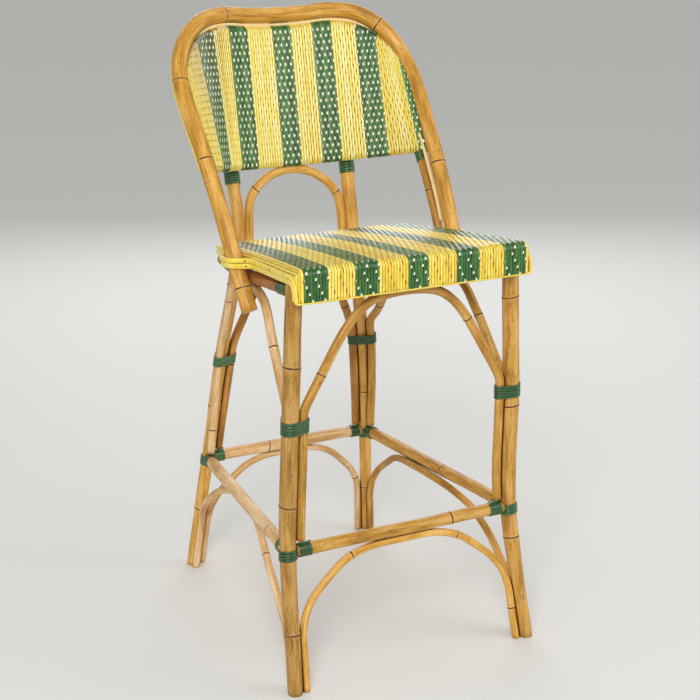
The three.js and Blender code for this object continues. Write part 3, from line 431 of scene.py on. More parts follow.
def rattan(name, light, mid, dark, blotch_and_seam_shade):
    """Rattan pole, sanded and clear-lacquered: fine fibres, honey bands, dark flecks, scars and joint rings, and
    painted shade in the seam beside a neighbour."""
    material, tree, out = new_material(name)
    lay, joint, groove = attribute(tree, "lay", "Vector"), attribute(tree, "joint"), attribute(tree, "groove")
    tone = node(tree, "ShaderNodeSeparateXYZ", {0: lay}).outputs[2]
    fibre = noise(tree, lay, (2500, 25, 9), 3.0)  # 0.4 mm round the pole, 40 mm along it
    cloud = noise(tree, lay, (70, 11, 40), 4.0, 0.62)  # 14 mm round, 90 mm along
    streak = noise(tree, lay, (420, 13, 60), 3.0, 0.6)  # 2.4 mm round, 75 mm along
    fleck = noise(tree, lay, (520, 230, 80), 2.0, 0.5)  # pores 2 mm by 4 mm
    scar = noise(tree, lay, (150, 36, 70), 5.0, 0.72)  # 7 mm by 28 mm, few
    mixed = math_node(tree, "MULTIPLY_ADD", fibre, 0.2, math_node(tree, "MULTIPLY", cloud, 0.52))
    mixed = math_node(tree, "MULTIPLY_ADD", streak, 0.28, mixed)
    moved = math_node(tree, "ADD", math_node(tree, "MULTIPLY_ADD", tone, 0.05, mixed), -0.025)
    wood = ramp(tree, moved, [(0.405, dark), (0.5, mid), (0.585, light)])
    wood = blend(tree, between(tree, joint, 0.15, 0.85, 0.0, 0.4), wood, linear(light))
    flecks = between(tree, fleck, 0.63, 0.72, 0.0, 0.75)
    scars = between(tree, scar, 0.61, 0.72, 0.0, 0.85)
    broken = between(tree, cloud, 0.38, 0.52, 0.6, 1.0)
    ring = math_node(tree, "MULTIPLY", between(tree, joint, 0.88, 0.95), broken)
    marked = math_node(tree, "MAXIMUM", math_node(tree, "MAXIMUM", scars, flecks), ring, use_clamp=True)
    # Painted shade in the seam where a pole lies against a neighbour, in the blotch colour.
    marked = math_node(tree, "MAXIMUM", marked, between(tree, groove, 0.35, 0.75, 0.0, 0.95))
    colour = blend(tree, marked, wood, linear(blotch_and_seam_shade))
    height = math_node(tree, "ADD", fibre, math_node(tree, "SUBTRACT", streak, scars))
    shade(tree, out, colour, between(tree, streak, 0.3, 0.7, 0.34, 0.54), height, (0.4, 0.0005), 0.06, 0.3, 1.45)
    return material


def lacquered(name, light, mid, dark, edge, rough, coat):
    """Cane strand, dyed and lacquered: thin long streaks, each strand a little lighter or darker, its edges darkened
    with painted shade.
    """
    material, tree, out = new_material(name)
    lay, groove = attribute(tree, "lay", "Vector"), attribute(tree, "groove")
    tone = node(tree, "ShaderNodeSeparateXYZ", {0: lay}).outputs[2]
    streak = noise(tree, lay, (2000, 33, 50), 2.0)  # 0.5 mm across, 30 mm along
    patch = noise(tree, lay, (60, 40, 60), 2.0)  # 17 mm across, 25 mm along
    halved = math_node(tree, "MULTIPLY_ADD", math_node(tree, "ADD", streak, patch), 0.42, -0.02)
    toned = math_node(tree, "MULTIPLY_ADD", tone, 0.2, halved)
    colour = ramp(tree, toned, [(0.3, dark), (0.5, mid), (0.72, light)])
    # Painted shade: the edge colour darkens a strand's edges and the faces that show through gaps.
    colour = blend(tree, between(tree, groove, 0.2, 1.0, 0.0, 0.85), colour, linear(edge))
    roughness = between(tree, patch, 0.3, 0.7, rough - 0.06, rough + 0.1)
    shade(tree, out, colour, roughness, streak, (0.3, 0.0003), coat, 0.12, 1.5)
    return material


# Rattan poles: light, middle and dark fibres, then the colour of flecks, rings and the painted shade in seams.
honey_rattan = rattan("honey_rattan", "#dbab5e", "#c28e32", "#976520", "#45220a")
brown_honey_rattan = rattan("brown_honey_rattan", "#c59a56", "#ae802e", "#85591c", "#3e1f0a")
hoop_rattan = rattan("hoop_rattan", "#ebbb64", "#d79c38", "#ad7824", "#4c290c")
# A lighter copy of the hoop's colours: painted light to lift the small arch out of its shade; the rear legs and the
# front lower arch take it too.
golden_painted_light_rattan = rattan("golden_painted_light_rattan", "#efc070", "#dca440", "#b07a26", "#502c0e")
# A darker copy of the honey colours: painted shade for the rear upper arch.
shaded_honey_rattan = rattan("shaded_honey_rattan", "#cb9444", "#ae7626", "#824f15", "#3e200a")
red_rattan = rattan("red_brown_rattan", "#b97a3a", "#995c24", "#704016", "#381c0a")
pale_rattan = rattan("pale_rattan", "#f2d2a2", "#e2b87e", "#c08e50", "#6f431d")

# Cane strands: light, middle and dark, then the painted shade at the edges, the roughness and the lacquer's weight.
pale_cane = lacquered("split_cane_pale", "#fdeabb", "#f7d898", "#e0b46a", "#b98a48", 0.4, 0.25)
# A paler copy of the yellow: painted sheen for the strands of the back.
yellow_cane_painted_sheen = lacquered(
    "cane_lacquered_yellow_painted_sheen", "#fff8be", "#fdec72", "#ecc93c", "#c79426", 0.3, 0.4)
yellow_cane = lacquered("cane_lacquered_yellow", "#fceb85", "#f6db4c", "#dcae26", "#b5801c", 0.34, 0.3)
# A lighter, greyer copy of the green: painted sheen for the strands of the back.
green_cane_painted_sheen = lacquered(
    "cane_lacquered_green_painted_sheen", "#86ad6c", "#45793a", "#1f4a18", "#10290c", 0.38, 0.2)
green_cane = lacquered("cane_lacquered_green", "#6a9c4a", "#2f6a24", "#174410", "#0c2409", 0.28, 0.5)
binding_green = lacquered("binding_lacquered_green", "#55854a", "#2d5f2c", "#183c16", "#071c08", 0.26, 0.5)
cream_cane = lacquered("cane_lacquered_cream", "#fffef4", "#fffae4", "#f4e8c0", "#d9c294", 0.35, 0.35)
# Tan is painted shade: the cream cross strand where it shows in a yellow stripe's narrow gaps.
tan_painted_shade_cane = lacquered("cane_cross_strand_painted_shade", "#c4924a", "#a06e34", "#744820", "#5a3616", 0.4, 0.3)
dark_brass = lacquered("brad_heads_dark_brass", "#5b4520", "#3c2e14", "#241a0a", "#241a0a", 0.35, 0.3)


# Legs, as points of the right one.

FRONT_LEG = [(237, -253, 0), (224, -203, FOOT_RAIL_Z), (218.5, -210, FRONT_WRAP_Z),
             (FRONT_LEG_TOP_HALF, FRONT_LEG_TOP_Y, FRONT_LEG_TOP_Z)]
REAR_LEG = [(202, 329, 0), (178, 286.5, FOOT_RAIL_Z), (155, 254, REAR_WRAP_Z),
            (121, REAR_LEG_SEAT_Y, seat_top(REAR_LEG_SEAT_Y)), (121.8, 252.4, BACK_WRAP_Z),
            (128, 318, REAR_LEG_TOP_Z)]
LEG_JOINTS = {"front_left": [0.143, 0.463, 0.807], "front_right": [0.263, 0.62, 0.9],
              "rear_left": [0.12, 0.33, 0.56, 0.84], "rear_right": [0.10, 0.31, 0.54, 0.80]}
ARCH_R = {"upper": UPPER_ARCH_R, "lower": LOWER_ARCH_R}


def both_sides(points):
    """The lines on the left and on the right from the points of the right one."""
    return {"left": Path(mirrored(points)), "right": Path(points)}


front_legs, rear_legs = both_sides(FRONT_LEG), both_sides(REAR_LEG)
legs = {}
for word in ("left", "right"):
    legs[f"front_{word}"], legs[f"rear_{word}"] = front_legs[word], rear_legs[word]


def leg_sizes(key):
    """A leg's foot and top radius, its belly and its height."""
    if "front" in key:
        return FRONT_LEG_FOOT_R, FRONT_LEG_TOP_R, FRONT_LEG_BELLY, FRONT_LEG_TOP_Z
    return REAR_LEG_FOOT_R, REAR_LEFT_TOP_R if "left" in key else REAR_LEG_TOP_R, 0.0, REAR_LEG_TOP_Z


def leg_radius(key, z):
    foot, top, belly, height = leg_sizes(key)
    share = z / height
    return (foot + (top - foot) * share + belly * math.sin(math.pi * share)) * (1 + RING_SWELL / 4)


def make_legs():
    for key, path in legs.items():
        foot, top, belly, _ = leg_sizes(key)
        end, word = key.split("_")
        against = [(arches[where, part], ARCH_R[part]) for where in (end, word) for part in ARCH_R]
        look = {"front_left": brown_honey_rattan, "front_right": honey_rattan}.get(key, golden_painted_light_rattan)
        pole(f"{end}_leg_cane_{word}", look, f"{end}_leg_{word}", "leg_cane", path, foot, LEG_JOINTS[key], end_r=top,
             sides=24, belly=belly, against=against)


# Foot rails.

RUNS = {"front": ("front_left", "front_right"), "rear": ("rear_left", "rear_right"),
        "left": ("front_left", "rear_left"), "right": ("front_right", "rear_right")}
FOOT_RAIL_JOINTS = {"front": [0.72], "left": [0.2], "right": [0.42], "rear": [0.37]}
RAIL_STOPS = 2.6  # a foot rail ends just off the binding on the leg


def binding_reach(radius):
    return radius + 2 * GAP + 2 * BINDING_R


def foot_rail_ends(where):
    return [legs[key].at_height(FOOT_RAIL_Z) for key in RUNS[where]]


def foot_rail_reach(key):
    """How far from the middle of a leg a foot rail ends."""
    return leg_radius(key, FOOT_RAIL_Z) + RAIL_STOPS


def make_foot_rails():
    for where, keys in RUNS.items():
        ends, reach = foot_rail_ends(where), [foot_rail_reach(key) for key in keys]
        copes = [(end, legs[key].tangent_at_height(FOOT_RAIL_Z), r) for end, key, r in zip(ends, keys, reach)]
        look = pale_rattan if where in ("left", "rear") else honey_rattan
        pole(f"foot_rail_cane_{where}", look, f"foot_rail_{where}", "foot_rail_cane", Path(ends), FOOT_RAIL_R,
             FOOT_RAIL_JOINTS[where], bend=0.7, copes=copes, trim=reach,
             against=[(arches[where, "lower"], LOWER_ARCH_R)])


# Arches, as shares of the half span and of the rise, from a side up to the middle.

UPPER_SHARES = [(1, 0), (0.93, 0.15), (0.85, 0.29), (0.6, 0.71), (0.447, 0.88), (0.3, 0.965), (0, 1)]
SIDE_FRONT_SHARES = [(1, 0), (0.932, 0.12), (0.826, 0.3), (0.72, 0.48), (0.609, 0.66), (0.498, 0.84), (0.38, 0.94),
                     (0.2, 0.99), (0, 1)]
SIDE_REAR_SHARES = [(1, 0), (0.876, 0.181), (0.785, 0.36), (0.68, 0.61), (0.53, 0.85), (0.38, 0.93), (0.2, 0.97),
                    (0, 1)]
LOWER_SHARES = [(1, 0), (0.958, 0.235), (0.87, 0.45), (0.72, 0.67), (0.56, 0.86), (0.4, 0.96), (0.24, 1), (0, 1)]
LOWER_FRONT_SHARES = [(0.975, 0), (0.825, 0.3), (0.741, 0.455), (0.62, 0.62), (0.51, 0.76), (0.32, 0.89),
                      (0.14, 0.97), (0, 1)]
SMALL_SHARES = [(1, 0), (0.95, 0.27), (0.8, 0.56), (0.51, 0.84), (0.2, 0.98), (0, 1)]
ARCH_JOINTS = {
    "upper": {"left": [0.334, 0.651, 0.95], "right": [0.12, 0.337, 0.72], "front": [0.291, 0.64], "rear": [0.2, 0.7]},
    "lower": {"left": [0.31, 0.74], "right": [0.058, 0.55], "front": [0.361, 0.652, 0.921], "rear": [0.3, 0.8]}}
UPPER_RISE = {"front": 688, "rear": 664, "left": 664, "right": 664}
UPPER_INSET = 6
LOWER_INSET = 24
LOWER_START_Z = 100
LOWER_ASIDE = 13  # how far beside the foot rail the top of a lower side arch lies
BEND_ABOVE = 10.5
UPPER_FOOT_ABOVE = 1  # between the foot of an upper arch and the binding on the foot rail
REAR_TURN = math.radians(29)  # how far outwards a side arch sits round its rear leg
FRONT_BRACE_TURNS = 5
REAR_BRACE_TURNS = 4


def turn_at(z):
    return REAR_TURN * min(1.0, max(0.0, (z - FOOT_RAIL_Z) / (REAR_WRAP_Z - FOOT_RAIL_Z)))


def beside(key, other, z, radius, turn=0.0):
    """The centre of an arch pole beside a leg, on the side of the other leg or turned outwards from it."""
    here, there = legs[key].at_height(z), legs[other].at_height(z)
    x, y, up = unit(there - here)
    a = turn * np.sign(here[0])
    towards = np.array([x * math.cos(a) - y * math.sin(a), x * math.sin(a) + y * math.cos(a), up])
    return here + towards * (leg_radius(key, z) + radius + LEAN)


def lean_between(key, other, low, high, share):
    """How far the plane of two legs leans over between two heights, at a share of the way from the other leg."""
    moved, other_moved = (legs[k].at_height(high) - legs[k].at_height(low) for k in (key, other))
    span = unit(legs[key].at_height(low) - legs[other].at_height(low))
    lean = other_moved + (moved - other_moved) * share
    lean = lean - span * np.dot(lean, span)
    return np.array([lean[0], lean[1], 0])


def arch_path(where, radius, foot_z, start_z, rise_z, shares, far_shares, inset, leg_steps):
    """The line of an arch: up along one leg to where it bends off, over, and down along the other leg. The inset
    brings the top of a side arch in."""
    a, b = RUNS[where]
    sideways = where in ("left", "right")
    ends = [(a, b), (b, a)]

    def stand(z):
        return [beside(k, o, z, radius, turn_at(z) if sideways and k == b else 0.0) for k, o in ends]

    starts = stand(start_z)
    middle = (starts[0] + starts[1]) / 2

    def over(end, outline):
        points = []
        for span, rise in outline:
            p = middle + (starts[end] - middle) * span
            p[2] = start_z + (rise_z - start_z) * rise
            if not sideways:
                p = p + lean_between(*ends[end], start_z, p[2], (1 + span) / 2)
            p[0] -= np.sign(middle[0]) * inset * rise**6
            points.append(p)
        return points

    run = [foot_z + (start_z - foot_z) * i / leg_steps for i in range(leg_steps)]
    up = [stand(z)[0] for z in run]
    down = [stand(z)[1] for z in reversed(run)]
    return Path(up + over(0, shares) + over(1, far_shares)[:-1][::-1] + down, fine=30)


def arch_paths():
    """The centre lines of the eight arches."""
    out = {}
    upper_foot = FOOT_RAIL_Z + binding_reach(FOOT_RAIL_R) + UPPER_FOOT_ABOVE
    rail_to_arch = FOOT_RAIL_R * (1 + RING_SWELL) + LOWER_ARCH_R + GAP
    for where in RUNS:
        sideways = where in ("left", "right")
        wrap, turns = (REAR_WRAP_Z, REAR_BRACE_TURNS) if where == "rear" else (FRONT_WRAP_Z, FRONT_BRACE_TURNS)
        start = wrap + turns * BINDING_PITCH / 2 + BEND_ABOVE
        shares = (SIDE_FRONT_SHARES, SIDE_REAR_SHARES) if sideways else (UPPER_SHARES, UPPER_SHARES)
        out[where, "upper"] = arch_path(
            where, UPPER_ARCH_R, upper_foot, start, UPPER_RISE[where], *shares, UPPER_INSET * sideways, 5)
        rise = FOOT_RAIL_Z - math.sqrt(rail_to_arch**2 - (LOWER_ASIDE * sideways)**2)
        shares = (LOWER_FRONT_SHARES if sideways else LOWER_SHARES, LOWER_SHARES)
        out[where, "lower"] = arch_path(
            where, LOWER_ARCH_R, 0, LOWER_START_Z, rise, *shares, LOWER_INSET * sideways, 2)
    return out


arches = arch_paths()


def make_arches():
    looks = {("left", "upper"): pale_rattan, ("rear", "upper"): shaded_honey_rattan, ("left", "lower"): pale_rattan,
             ("rear", "lower"): pale_rattan, ("front", "lower"): golden_painted_light_rattan}
    for (where, part), path in arches.items():
        against = [(legs[key], (leg_sizes(key)[0] + leg_sizes(key)[1]) / 2) for key in RUNS[where]]
        if part == "lower":
            against.append((Path(foot_rail_ends(where)), FOOT_RAIL_R))
        slot = "pale_arch_cane" if (where, part) == ("left", "upper") else "arch_cane"
        pole(f"{part}_arch_cane_{where}", looks.get((where, part), honey_rattan), f"{part}_arch_{where}", slot, path,
             ARCH_R[part], ARCH_JOINTS[part][where], sides=16, step=9, bend=0.3, against=against)


# Hoop of the back.

HOOP_HALF = [(215, -38, 636), (221, 0, 706), (226, 42, 780), (230, 101, 870), (236, 166, 957), (236, 201, 999),
             (226, 234, 1042), (200, 261, 1082), (158, 284, 1108), (108, 305, 1114), (54, 316, 1109), (0, 319, 1107)]
HOOP_HUB = np.array([0, 300, 900])
HOOP_JOINTS = [0.028, 0.186, 0.292, 0.426, 0.639, 0.846]
HOOP_RING_R = HOOP_R * (1 + RING_SWELL)  # over a joint
RIGHT_LEG_FROM = 0.62  # past this share of its length the hoop only runs down
BEAD_SUNK = 0.2  # how far the beading sits into the joints of the hoop
hoop = Path(both_halves(HOOP_HALF))

# A band is flat where it lies on the frame and half round outside.
BAND_SECTION = [(-0.5, -0.5), (0.5, -0.5), (0.5, -0.1), (0.42, 0.2), (0.22, 0.44), (0, 0.5), (-0.22, 0.44),
                (-0.42, 0.2), (-0.5, -0.1)]
BAND_AROUND = np.linspace(0, 20, len(BAND_SECTION))


def hoop_frame(s):
    """A point of the hoop, and the directions along it, inward and to its rear."""
    point, along = hoop.at(s), hoop.tangent(s)
    inward = HOOP_HUB - point
    inward = unit(inward - along * np.dot(inward, along))
    behind = np.cross(inward, along)
    return point, along, inward, behind if behind[1] > 0 else -behind


def hoop_length_at(z):
    """The distance along the hoop to a height on its right leg."""
    keep = hoop.s > RIGHT_LEG_FROM * hoop.length
    heights, lengths = hoop.p[keep][:, 2][::-1], hoop.s[keep][::-1]
    return float(np.interp(z, heights, lengths))


def over_hoop(z, count):
    """Places along the hoop, from a height on its left leg over the top to the same height on its right leg."""
    end = hoop_length_at(z)
    return np.linspace(hoop.length - end, end, count)


hoop_at_seat = hoop.at(hoop_length_at(seat_top(0)))
hoop_rail = hoop.at(hoop_length_at(seat_top(0) - SIDE_RAIL_DROP))


def band_ring(centre, outward, across):
    return np.array([centre + across * a * BAND_WIDTH + outward * b * BAND_THICK for a, b in BAND_SECTION])


def make_hoop():
    pole("back_hoop_cane", hoop_rattan, "back_hoop", "hoop_cane", hoop, HOOP_R, HOOP_JOINTS, sides=28, step=9,
         bend=0.4)

    sides = 10
    section, rings = round_section(sides), []
    stations = over_hoop(seat_top(hoop_at_seat[1]) + HOOP_R, 190)
    for s in stations:
        point, along, inward, _ = hoop_frame(s)
        ring = BEAD_R * (section[:, :1] * inward + section[:, 1:] * np.cross(along, inward))
        rings.append(point + inward * (HOOP_RING_R + BEAD_R - BEAD_SUNK) + ring)
    lone_cane("split_cane_beading", pale_cane, "back_beading", "split_cane_beading", rings,
              turns_of(sides) * BEAD_R, stations, tone=0.6)

    stations, rings = over_hoop(PANEL_SIDE_Z, 150), []
    for s in stations:
        point, along, _, behind = hoop_frame(s)
        rings.append(band_ring(point + behind * (HOOP_RING_R + BAND_THICK / 2), behind, np.cross(behind, along)))
    lone_cane("rear_border_cane", yellow_cane, "back_rear_border", "yellow_border_cane", rings, BAND_AROUND, stations,
              tone=0.4)


# Seat frame and side posts.

RAIL_INSET = half_width(hoop_rail[1]) - (hoop_rail[0] - HOOP_R - SEAT_RAIL_R - 2 * GAP)
SIDE_RAIL_BEND_Y, SIDE_RAIL_KNEE_Y = 40, 105
SIDE_RAIL_PAST_LEG = 14
KNEE_EASE = 0.42  # how far the knee moves out of its corner
POST_APART = 3.8  # between the hoop and the binding on a side post
POST_OFFSET = HOOP_RING_R + binding_reach(SIDE_POST_R) + POST_APART
POST_TURN_FOOT, POST_TURN_TOP = math.radians(34), math.radians(28)
REAR_RAIL_Y = SEAT_REAR_Y - SEAT_ROLL
FRONT_RAIL_Y = FRONT_LEG_TOP_Y - leg_radius("front_left", FRONT_LEG_TOP_Z) - SEAT_RAIL_R - GAP


def side_rail_point(y):
    return np.array([half_width(y) - RAIL_INSET, y, seat_top(y) - SIDE_RAIL_DROP])


def side_rail_points():
    """The right side rail: straight back along the seat, then bent in to the outer side of the rear leg."""
    z = seat_top(REAR_LEG_SEAT_Y) - SIDE_RAIL_DROP
    leg = legs["rear_right"].at_height(z)
    y = leg[1] + SIDE_RAIL_PAST_LEG
    end = np.array([leg[0] + leg_radius("rear_right", z) + SEAT_RAIL_R + LEAN, y, seat_top(y) - SIDE_RAIL_DROP])
    start, bend, knee = (side_rail_point(at) for at in (FRONT_LEG_TOP_Y, SIDE_RAIL_BEND_Y, SIDE_RAIL_KNEE_Y))
    chord = (knee[1] - bend[1]) / (end[1] - bend[1])
    knee[0] += (bend[0] + (end[0] - bend[0]) * chord - knee[0]) * KNEE_EASE
    return [start, (start + bend) / 2, bend, knee, end]


def post_point(z, turn):
    """The centre of the right side post at a height, turned round the back of the hoop by an angle."""
    low, high = RIGHT_LEG_FROM * hoop.length, hoop.length
    for _ in range(30):
        middle = (low + high) / 2
        point, _, inward, behind = hoop_frame(middle)
        p = point + (inward * math.cos(turn) + behind * math.sin(turn)) * POST_OFFSET
        low, high = (middle, high) if p[2] > z else (low, middle)
    return p


def side_post_points():
    bottom = seat_top(hoop_at_seat[1]) - SIDE_RAIL_DROP - SEAT_RAIL_R
    points = []
    for share in (0, 0.33, 0.67, 1):
        turn = POST_TURN_FOOT + (POST_TURN_TOP - POST_TURN_FOOT) * share
        points.append(tuple(post_point(bottom + (POST_TOP_Z - bottom) * share, turn)))
    return points


RAIL_POINTS = side_rail_points()
side_rails, side_posts = both_sides(RAIL_POINTS), both_sides(side_post_points())


def make_seat_frame():
    rail_z = RAIL_POINTS[0][2]
    radius = leg_radius("front", rail_z)
    for word in ("left", "right"):
        leg = legs[f"front_{word}"]
        cope = (leg.at_height(rail_z), leg.tangent_at_height(rail_z), radius + GAP)
        pole(f"seat_side_rail_cane_{word}", red_rattan, f"seat_side_rail_{word}", "frame_cane", side_rails[word],
             SEAT_RAIL_R, [0.42], copes=(cope, None), trim=(radius + 2, 0), bend=0.4)
        pole(f"back_side_post_cane_{word}", honey_rattan, f"back_side_post_{word}", "frame_cane", side_posts[word],
             SIDE_POST_R, [0.55], sides=18, step=8, bend=0.3)
    rail = side_rails["right"].p
    rear_half = float(np.interp(REAR_RAIL_Y, rail[:, 1], rail[:, 0])) - SEAT_RAIL_R - GAP
    for name, y, drop, half in (("front", FRONT_RAIL_Y, FRONT_RAIL_DROP, FRONT_LEG_TOP_HALF),
                                ("rear", REAR_RAIL_Y, REAR_RAIL_DROP, rear_half)):
        z = seat_top(y) - drop
        pole(f"seat_{name}_rail_cane", red_rattan, f"seat_{name}_rail", "frame_cane",
             Path([(-half, y, z), (half, y, z)]), SEAT_RAIL_R, [0.3, 0.8], bend=0.4)


# Bottom rail of the back and the small arch under it.

PANEL_RAIL_Y = 256
RISE_AT_LEG = 0.16  # the share of the bottom rail's rise that it has made where it passes a rear leg
leg_at_rail = legs["rear_right"].at_height(PANEL_BOTTOM_Z)
RAIL_HALF = [
    tuple(side_posts["right"].at_height(PANEL_SIDE_Z)),
    (leg_at_rail[0], leg_at_rail[1] - leg_radius("rear", PANEL_SIDE_Z) - PANEL_RAIL_R - 2 * LEAN,
     PANEL_BOTTOM_Z + (PANEL_SIDE_Z - PANEL_BOTTOM_Z) * RISE_AT_LEG),
    (0, PANEL_RAIL_Y, PANEL_BOTTOM_Z)]


def make_back_rail_and_arch():
    pole("back_bottom_rail_cane", honey_rattan, "back_bottom_rail", "frame_cane", Path(both_halves(RAIL_HALF)),
         PANEL_RAIL_R, [0.3, 0.7], sides=16, step=9, bend=0.2, trim=(SIDE_POST_R, SIDE_POST_R))

    leg = legs["rear_right"]

    def beside_leg(z):
        return leg.at_height(z)[0] - leg_radius("rear", z) - SMALL_ARCH_R - LEAN - GAP

    rise = PANEL_BOTTOM_Z - PANEL_RAIL_R - SMALL_ARCH_R - 2 * GAP
    right = [(beside_leg(SMALL_ARCH_FOOT_Z), leg.at_height(SMALL_ARCH_FOOT_Z)[1], SMALL_ARCH_FOOT_Z)]
    for span, share in SMALL_SHARES:
        z = SMALL_ARCH_BEND_Z + (rise - SMALL_ARCH_BEND_Z) * share
        right.append((beside_leg(SMALL_ARCH_BEND_Z) * span, leg.at_height(z)[1], z))
    pole("back_small_arch_cane", golden_painted_light_rattan, "back_small_arch", "arch_cane", Path(both_halves(right), fine=30),
         SMALL_ARCH_R, [0.282, 0.78], step=8, bend=0.25)


# Woven seat. Flat strands run from front to back, in stripes. Narrow cross strands lie under them and show as dots
# where two neighbours part.

STRAND_PITCH = 5.5
STRAND_WIDTH = 5.5
STRAND_THICK = 2.0
STRAND_SECTION = np.array([(-1, 0), (-0.72, 0.72), (0, 1), (0.72, 0.72), (1, 0), (0, -0.6)]) * 0.5
# How much painted shade each point of a strand's section takes: most at its two edges, where neighbours meet.
STRAND_CREVICE_SHADE = (1.0, 0.2, 0.0, 0.2, 1.0, 0.3)
SEAT_ROW = 12.0
BACK_ROW = 12.4
APRON_ROWS_END = 52.0
APRON_DOT_SHIFT = 1.4
APRON_HEAVE, SEAT_HEAVE, BACK_HEAVE = 0.12, 0.4, 0.3

# A second layer of strands closes the gaps of the first. Its face towards the first is darkened with painted shade,
# and it is clean behind.
UNDER_DEPTH = 1.9
UNDER_WIDTH = STRAND_PITCH + 0.8
UNDER_THICK = 0.8
UNDER_CREVICE_SHADE = (0.5, 1.0, 1.0, 1.0, 0.5, 0.0)

# Where the stripes change, from left to right; the first and the last lie beyond the weave, and the first is green.
SEAT_STRIPES = [-260, -210, -166, -116, -72, -21.5, 21.5, 72, 116, 166, 210, 260]
BACK_STRIPES = [-280, -203, -153, -106, -62, -10, 28, 74, 114, 165, 206, 268]

# How far the two strands' edges draw back from a gap that opens, beside a green strand and between two yellow ones.
APRON_OPENS = (2.1, 1.3)
SEAT_OPENS = (1.0, 0.6)
BACK_OPENS = (2.0, 0.7)

# A cross strand: how high it lies in an open gap, in a shut one and under a strand; how wide its cream and its tan
# stretches are in a shut gap and in an open one, the tan being painted shade; how thick it is.
APRON_CROSS = (-0.6, -3.2, -3.2), ((5.6, 4.2), (5.6, 4.2)), 2.0
SEAT_CROSS = (-0.9, -3.2, -3.2), ((6.0, 3.0), (6.0, 3.0)), 1.5
BACK_CROSS = (0.65, -2.4, -1.3), ((3.0, 3.0), (8.6, 3.4)), 1.5


def stripe_is_green(offset, edges):
    return sum(edge <= offset for edge in edges) % 2 == 0


def parts_dense(i, row):
    """On the seat's top and on the back, every other gap opens in each row, in turn."""
    return (i + row) % 2 == 0


def parts_sparse(i, row):
    """On the front apron, one gap in four opens, along a slant that turns back."""
    slant = [0, 1, 2, 3, 2, 1][row % 6]
    return (i + slant) % 4 == 0


def opens_by(i, edges, widths):
    """How far gap i opens, by the colour of the two strands beside it."""
    green = any(stripe_is_green(k * STRAND_PITCH, edges) for k in (i, i + 1))
    return widths[0] if green else widths[1]


def aside(i, s, row_length, opening):
    """How far strand i is moved aside at a place along it, and how much narrower it is there."""
    row = int(round(s / row_length))
    bump = math.cos(math.pi * (s / row_length - row)) ** 2
    left, right = opening(i - 1, row), opening(i, row)
    return bump * (left - right) / 2, bump * (left + right)


def heave(i, s, row_length, height):
    """How far strand i rises or sinks as it passes over and under the cross strands."""
    return height * math.cos(math.pi * (s / row_length + i))


def strand(skein, points, normals, stations, tone, ink, width, thick=STRAND_THICK, groove=STRAND_CREVICE_SHADE):
    """A flat domed strand through points, with its dome along the normals."""
    points, normals = np.array(points), np.array(normals)
    along = np.gradient(points, axis=0)
    across = np.cross(along, normals)
    across /= np.linalg.norm(across, axis=1)[:, None]
    wide = np.broadcast_to(np.asarray(width, float), (len(points),))[:, None, None]
    rings = (points[:, None, :] + across[:, None, :] * (STRAND_SECTION[None, :, :1] * wide)
             + normals[:, None, :] * (STRAND_SECTION[None, :, 1:] * thick))
    around = np.linspace(0, 1, len(STRAND_SECTION), endpoint=False) * 2 * STRAND_WIDTH * MM
    skein.loft(rings, around, np.asarray(stations) * MM, tone=tone, ink=ink, groove=groove)


def long_strands(count, edges, stations_of, point_at, row_length, opening, heave_at, sunk, under_depth):
    """The strands of both layers, gathered by whether their stripe is green. The strands of the second layer lie
    under the gaps."""
    skeins = {True: Skein(), False: Skein()}
    for i in range(-count, count + 1):
        offset, stations = i * STRAND_PITCH, stations_of(i)
        points, under, normals, widths = [], [], [], []
        for s in stations:
            shift, narrow = aside(i, s, row_length, opening)
            point, normal = point_at(offset + shift, s)
            points.append(point + normal * (heave(i, s, row_length, heave_at(s)) - sunk))
            under.append(point_at(offset + STRAND_PITCH / 2, s)[0] - normal * under_depth)
            normals.append(normal)
            widths.append(STRAND_WIDTH - narrow)
        skein = skeins[stripe_is_green(offset, edges)]
        strand(skein, points, normals, stations, rng.uniform(0, 1), 0, widths)
        strand(skein, under, normals, stations, 0.0, 0, UNDER_WIDTH, UNDER_THICK, UNDER_CREVICE_SHADE)
    return skeins


def cross_strand(skein, gaps, edges, point_at, s, opening, row, sizes):
    """A strand across, cream in a green stripe and tan, painted shade on the cream, in a yellow one: a point in each
    gap and one under the strand after it."""
    (lies_open, lies_shut, lies_under), widths, thick = sizes
    points, normals, inks, wide, offsets = [], [], [], [], []
    for k in gaps:
        middle = (k + 0.5) * STRAND_PITCH
        green = any(stripe_is_green(middle + d, edges) for d in (-STRAND_PITCH / 2, STRAND_PITCH / 2))
        opened = opening(k, row) > 0
        for offset, is_open, lies in ((middle, opened, lies_open if opened else lies_shut),
                                      ((k + 1.0) * STRAND_PITCH, False, lies_under)):
            point, normal = point_at(offset, s)
            points.append(point + normal * lies)
            normals.append(normal)
            inks.append(0 if green else 1)
            wide.append(widths[is_open][inks[-1]])
            offsets.append(offset)
    strand(skein, points, normals, offsets, rng.uniform(0, 1), inks[:-1], wide, thick)


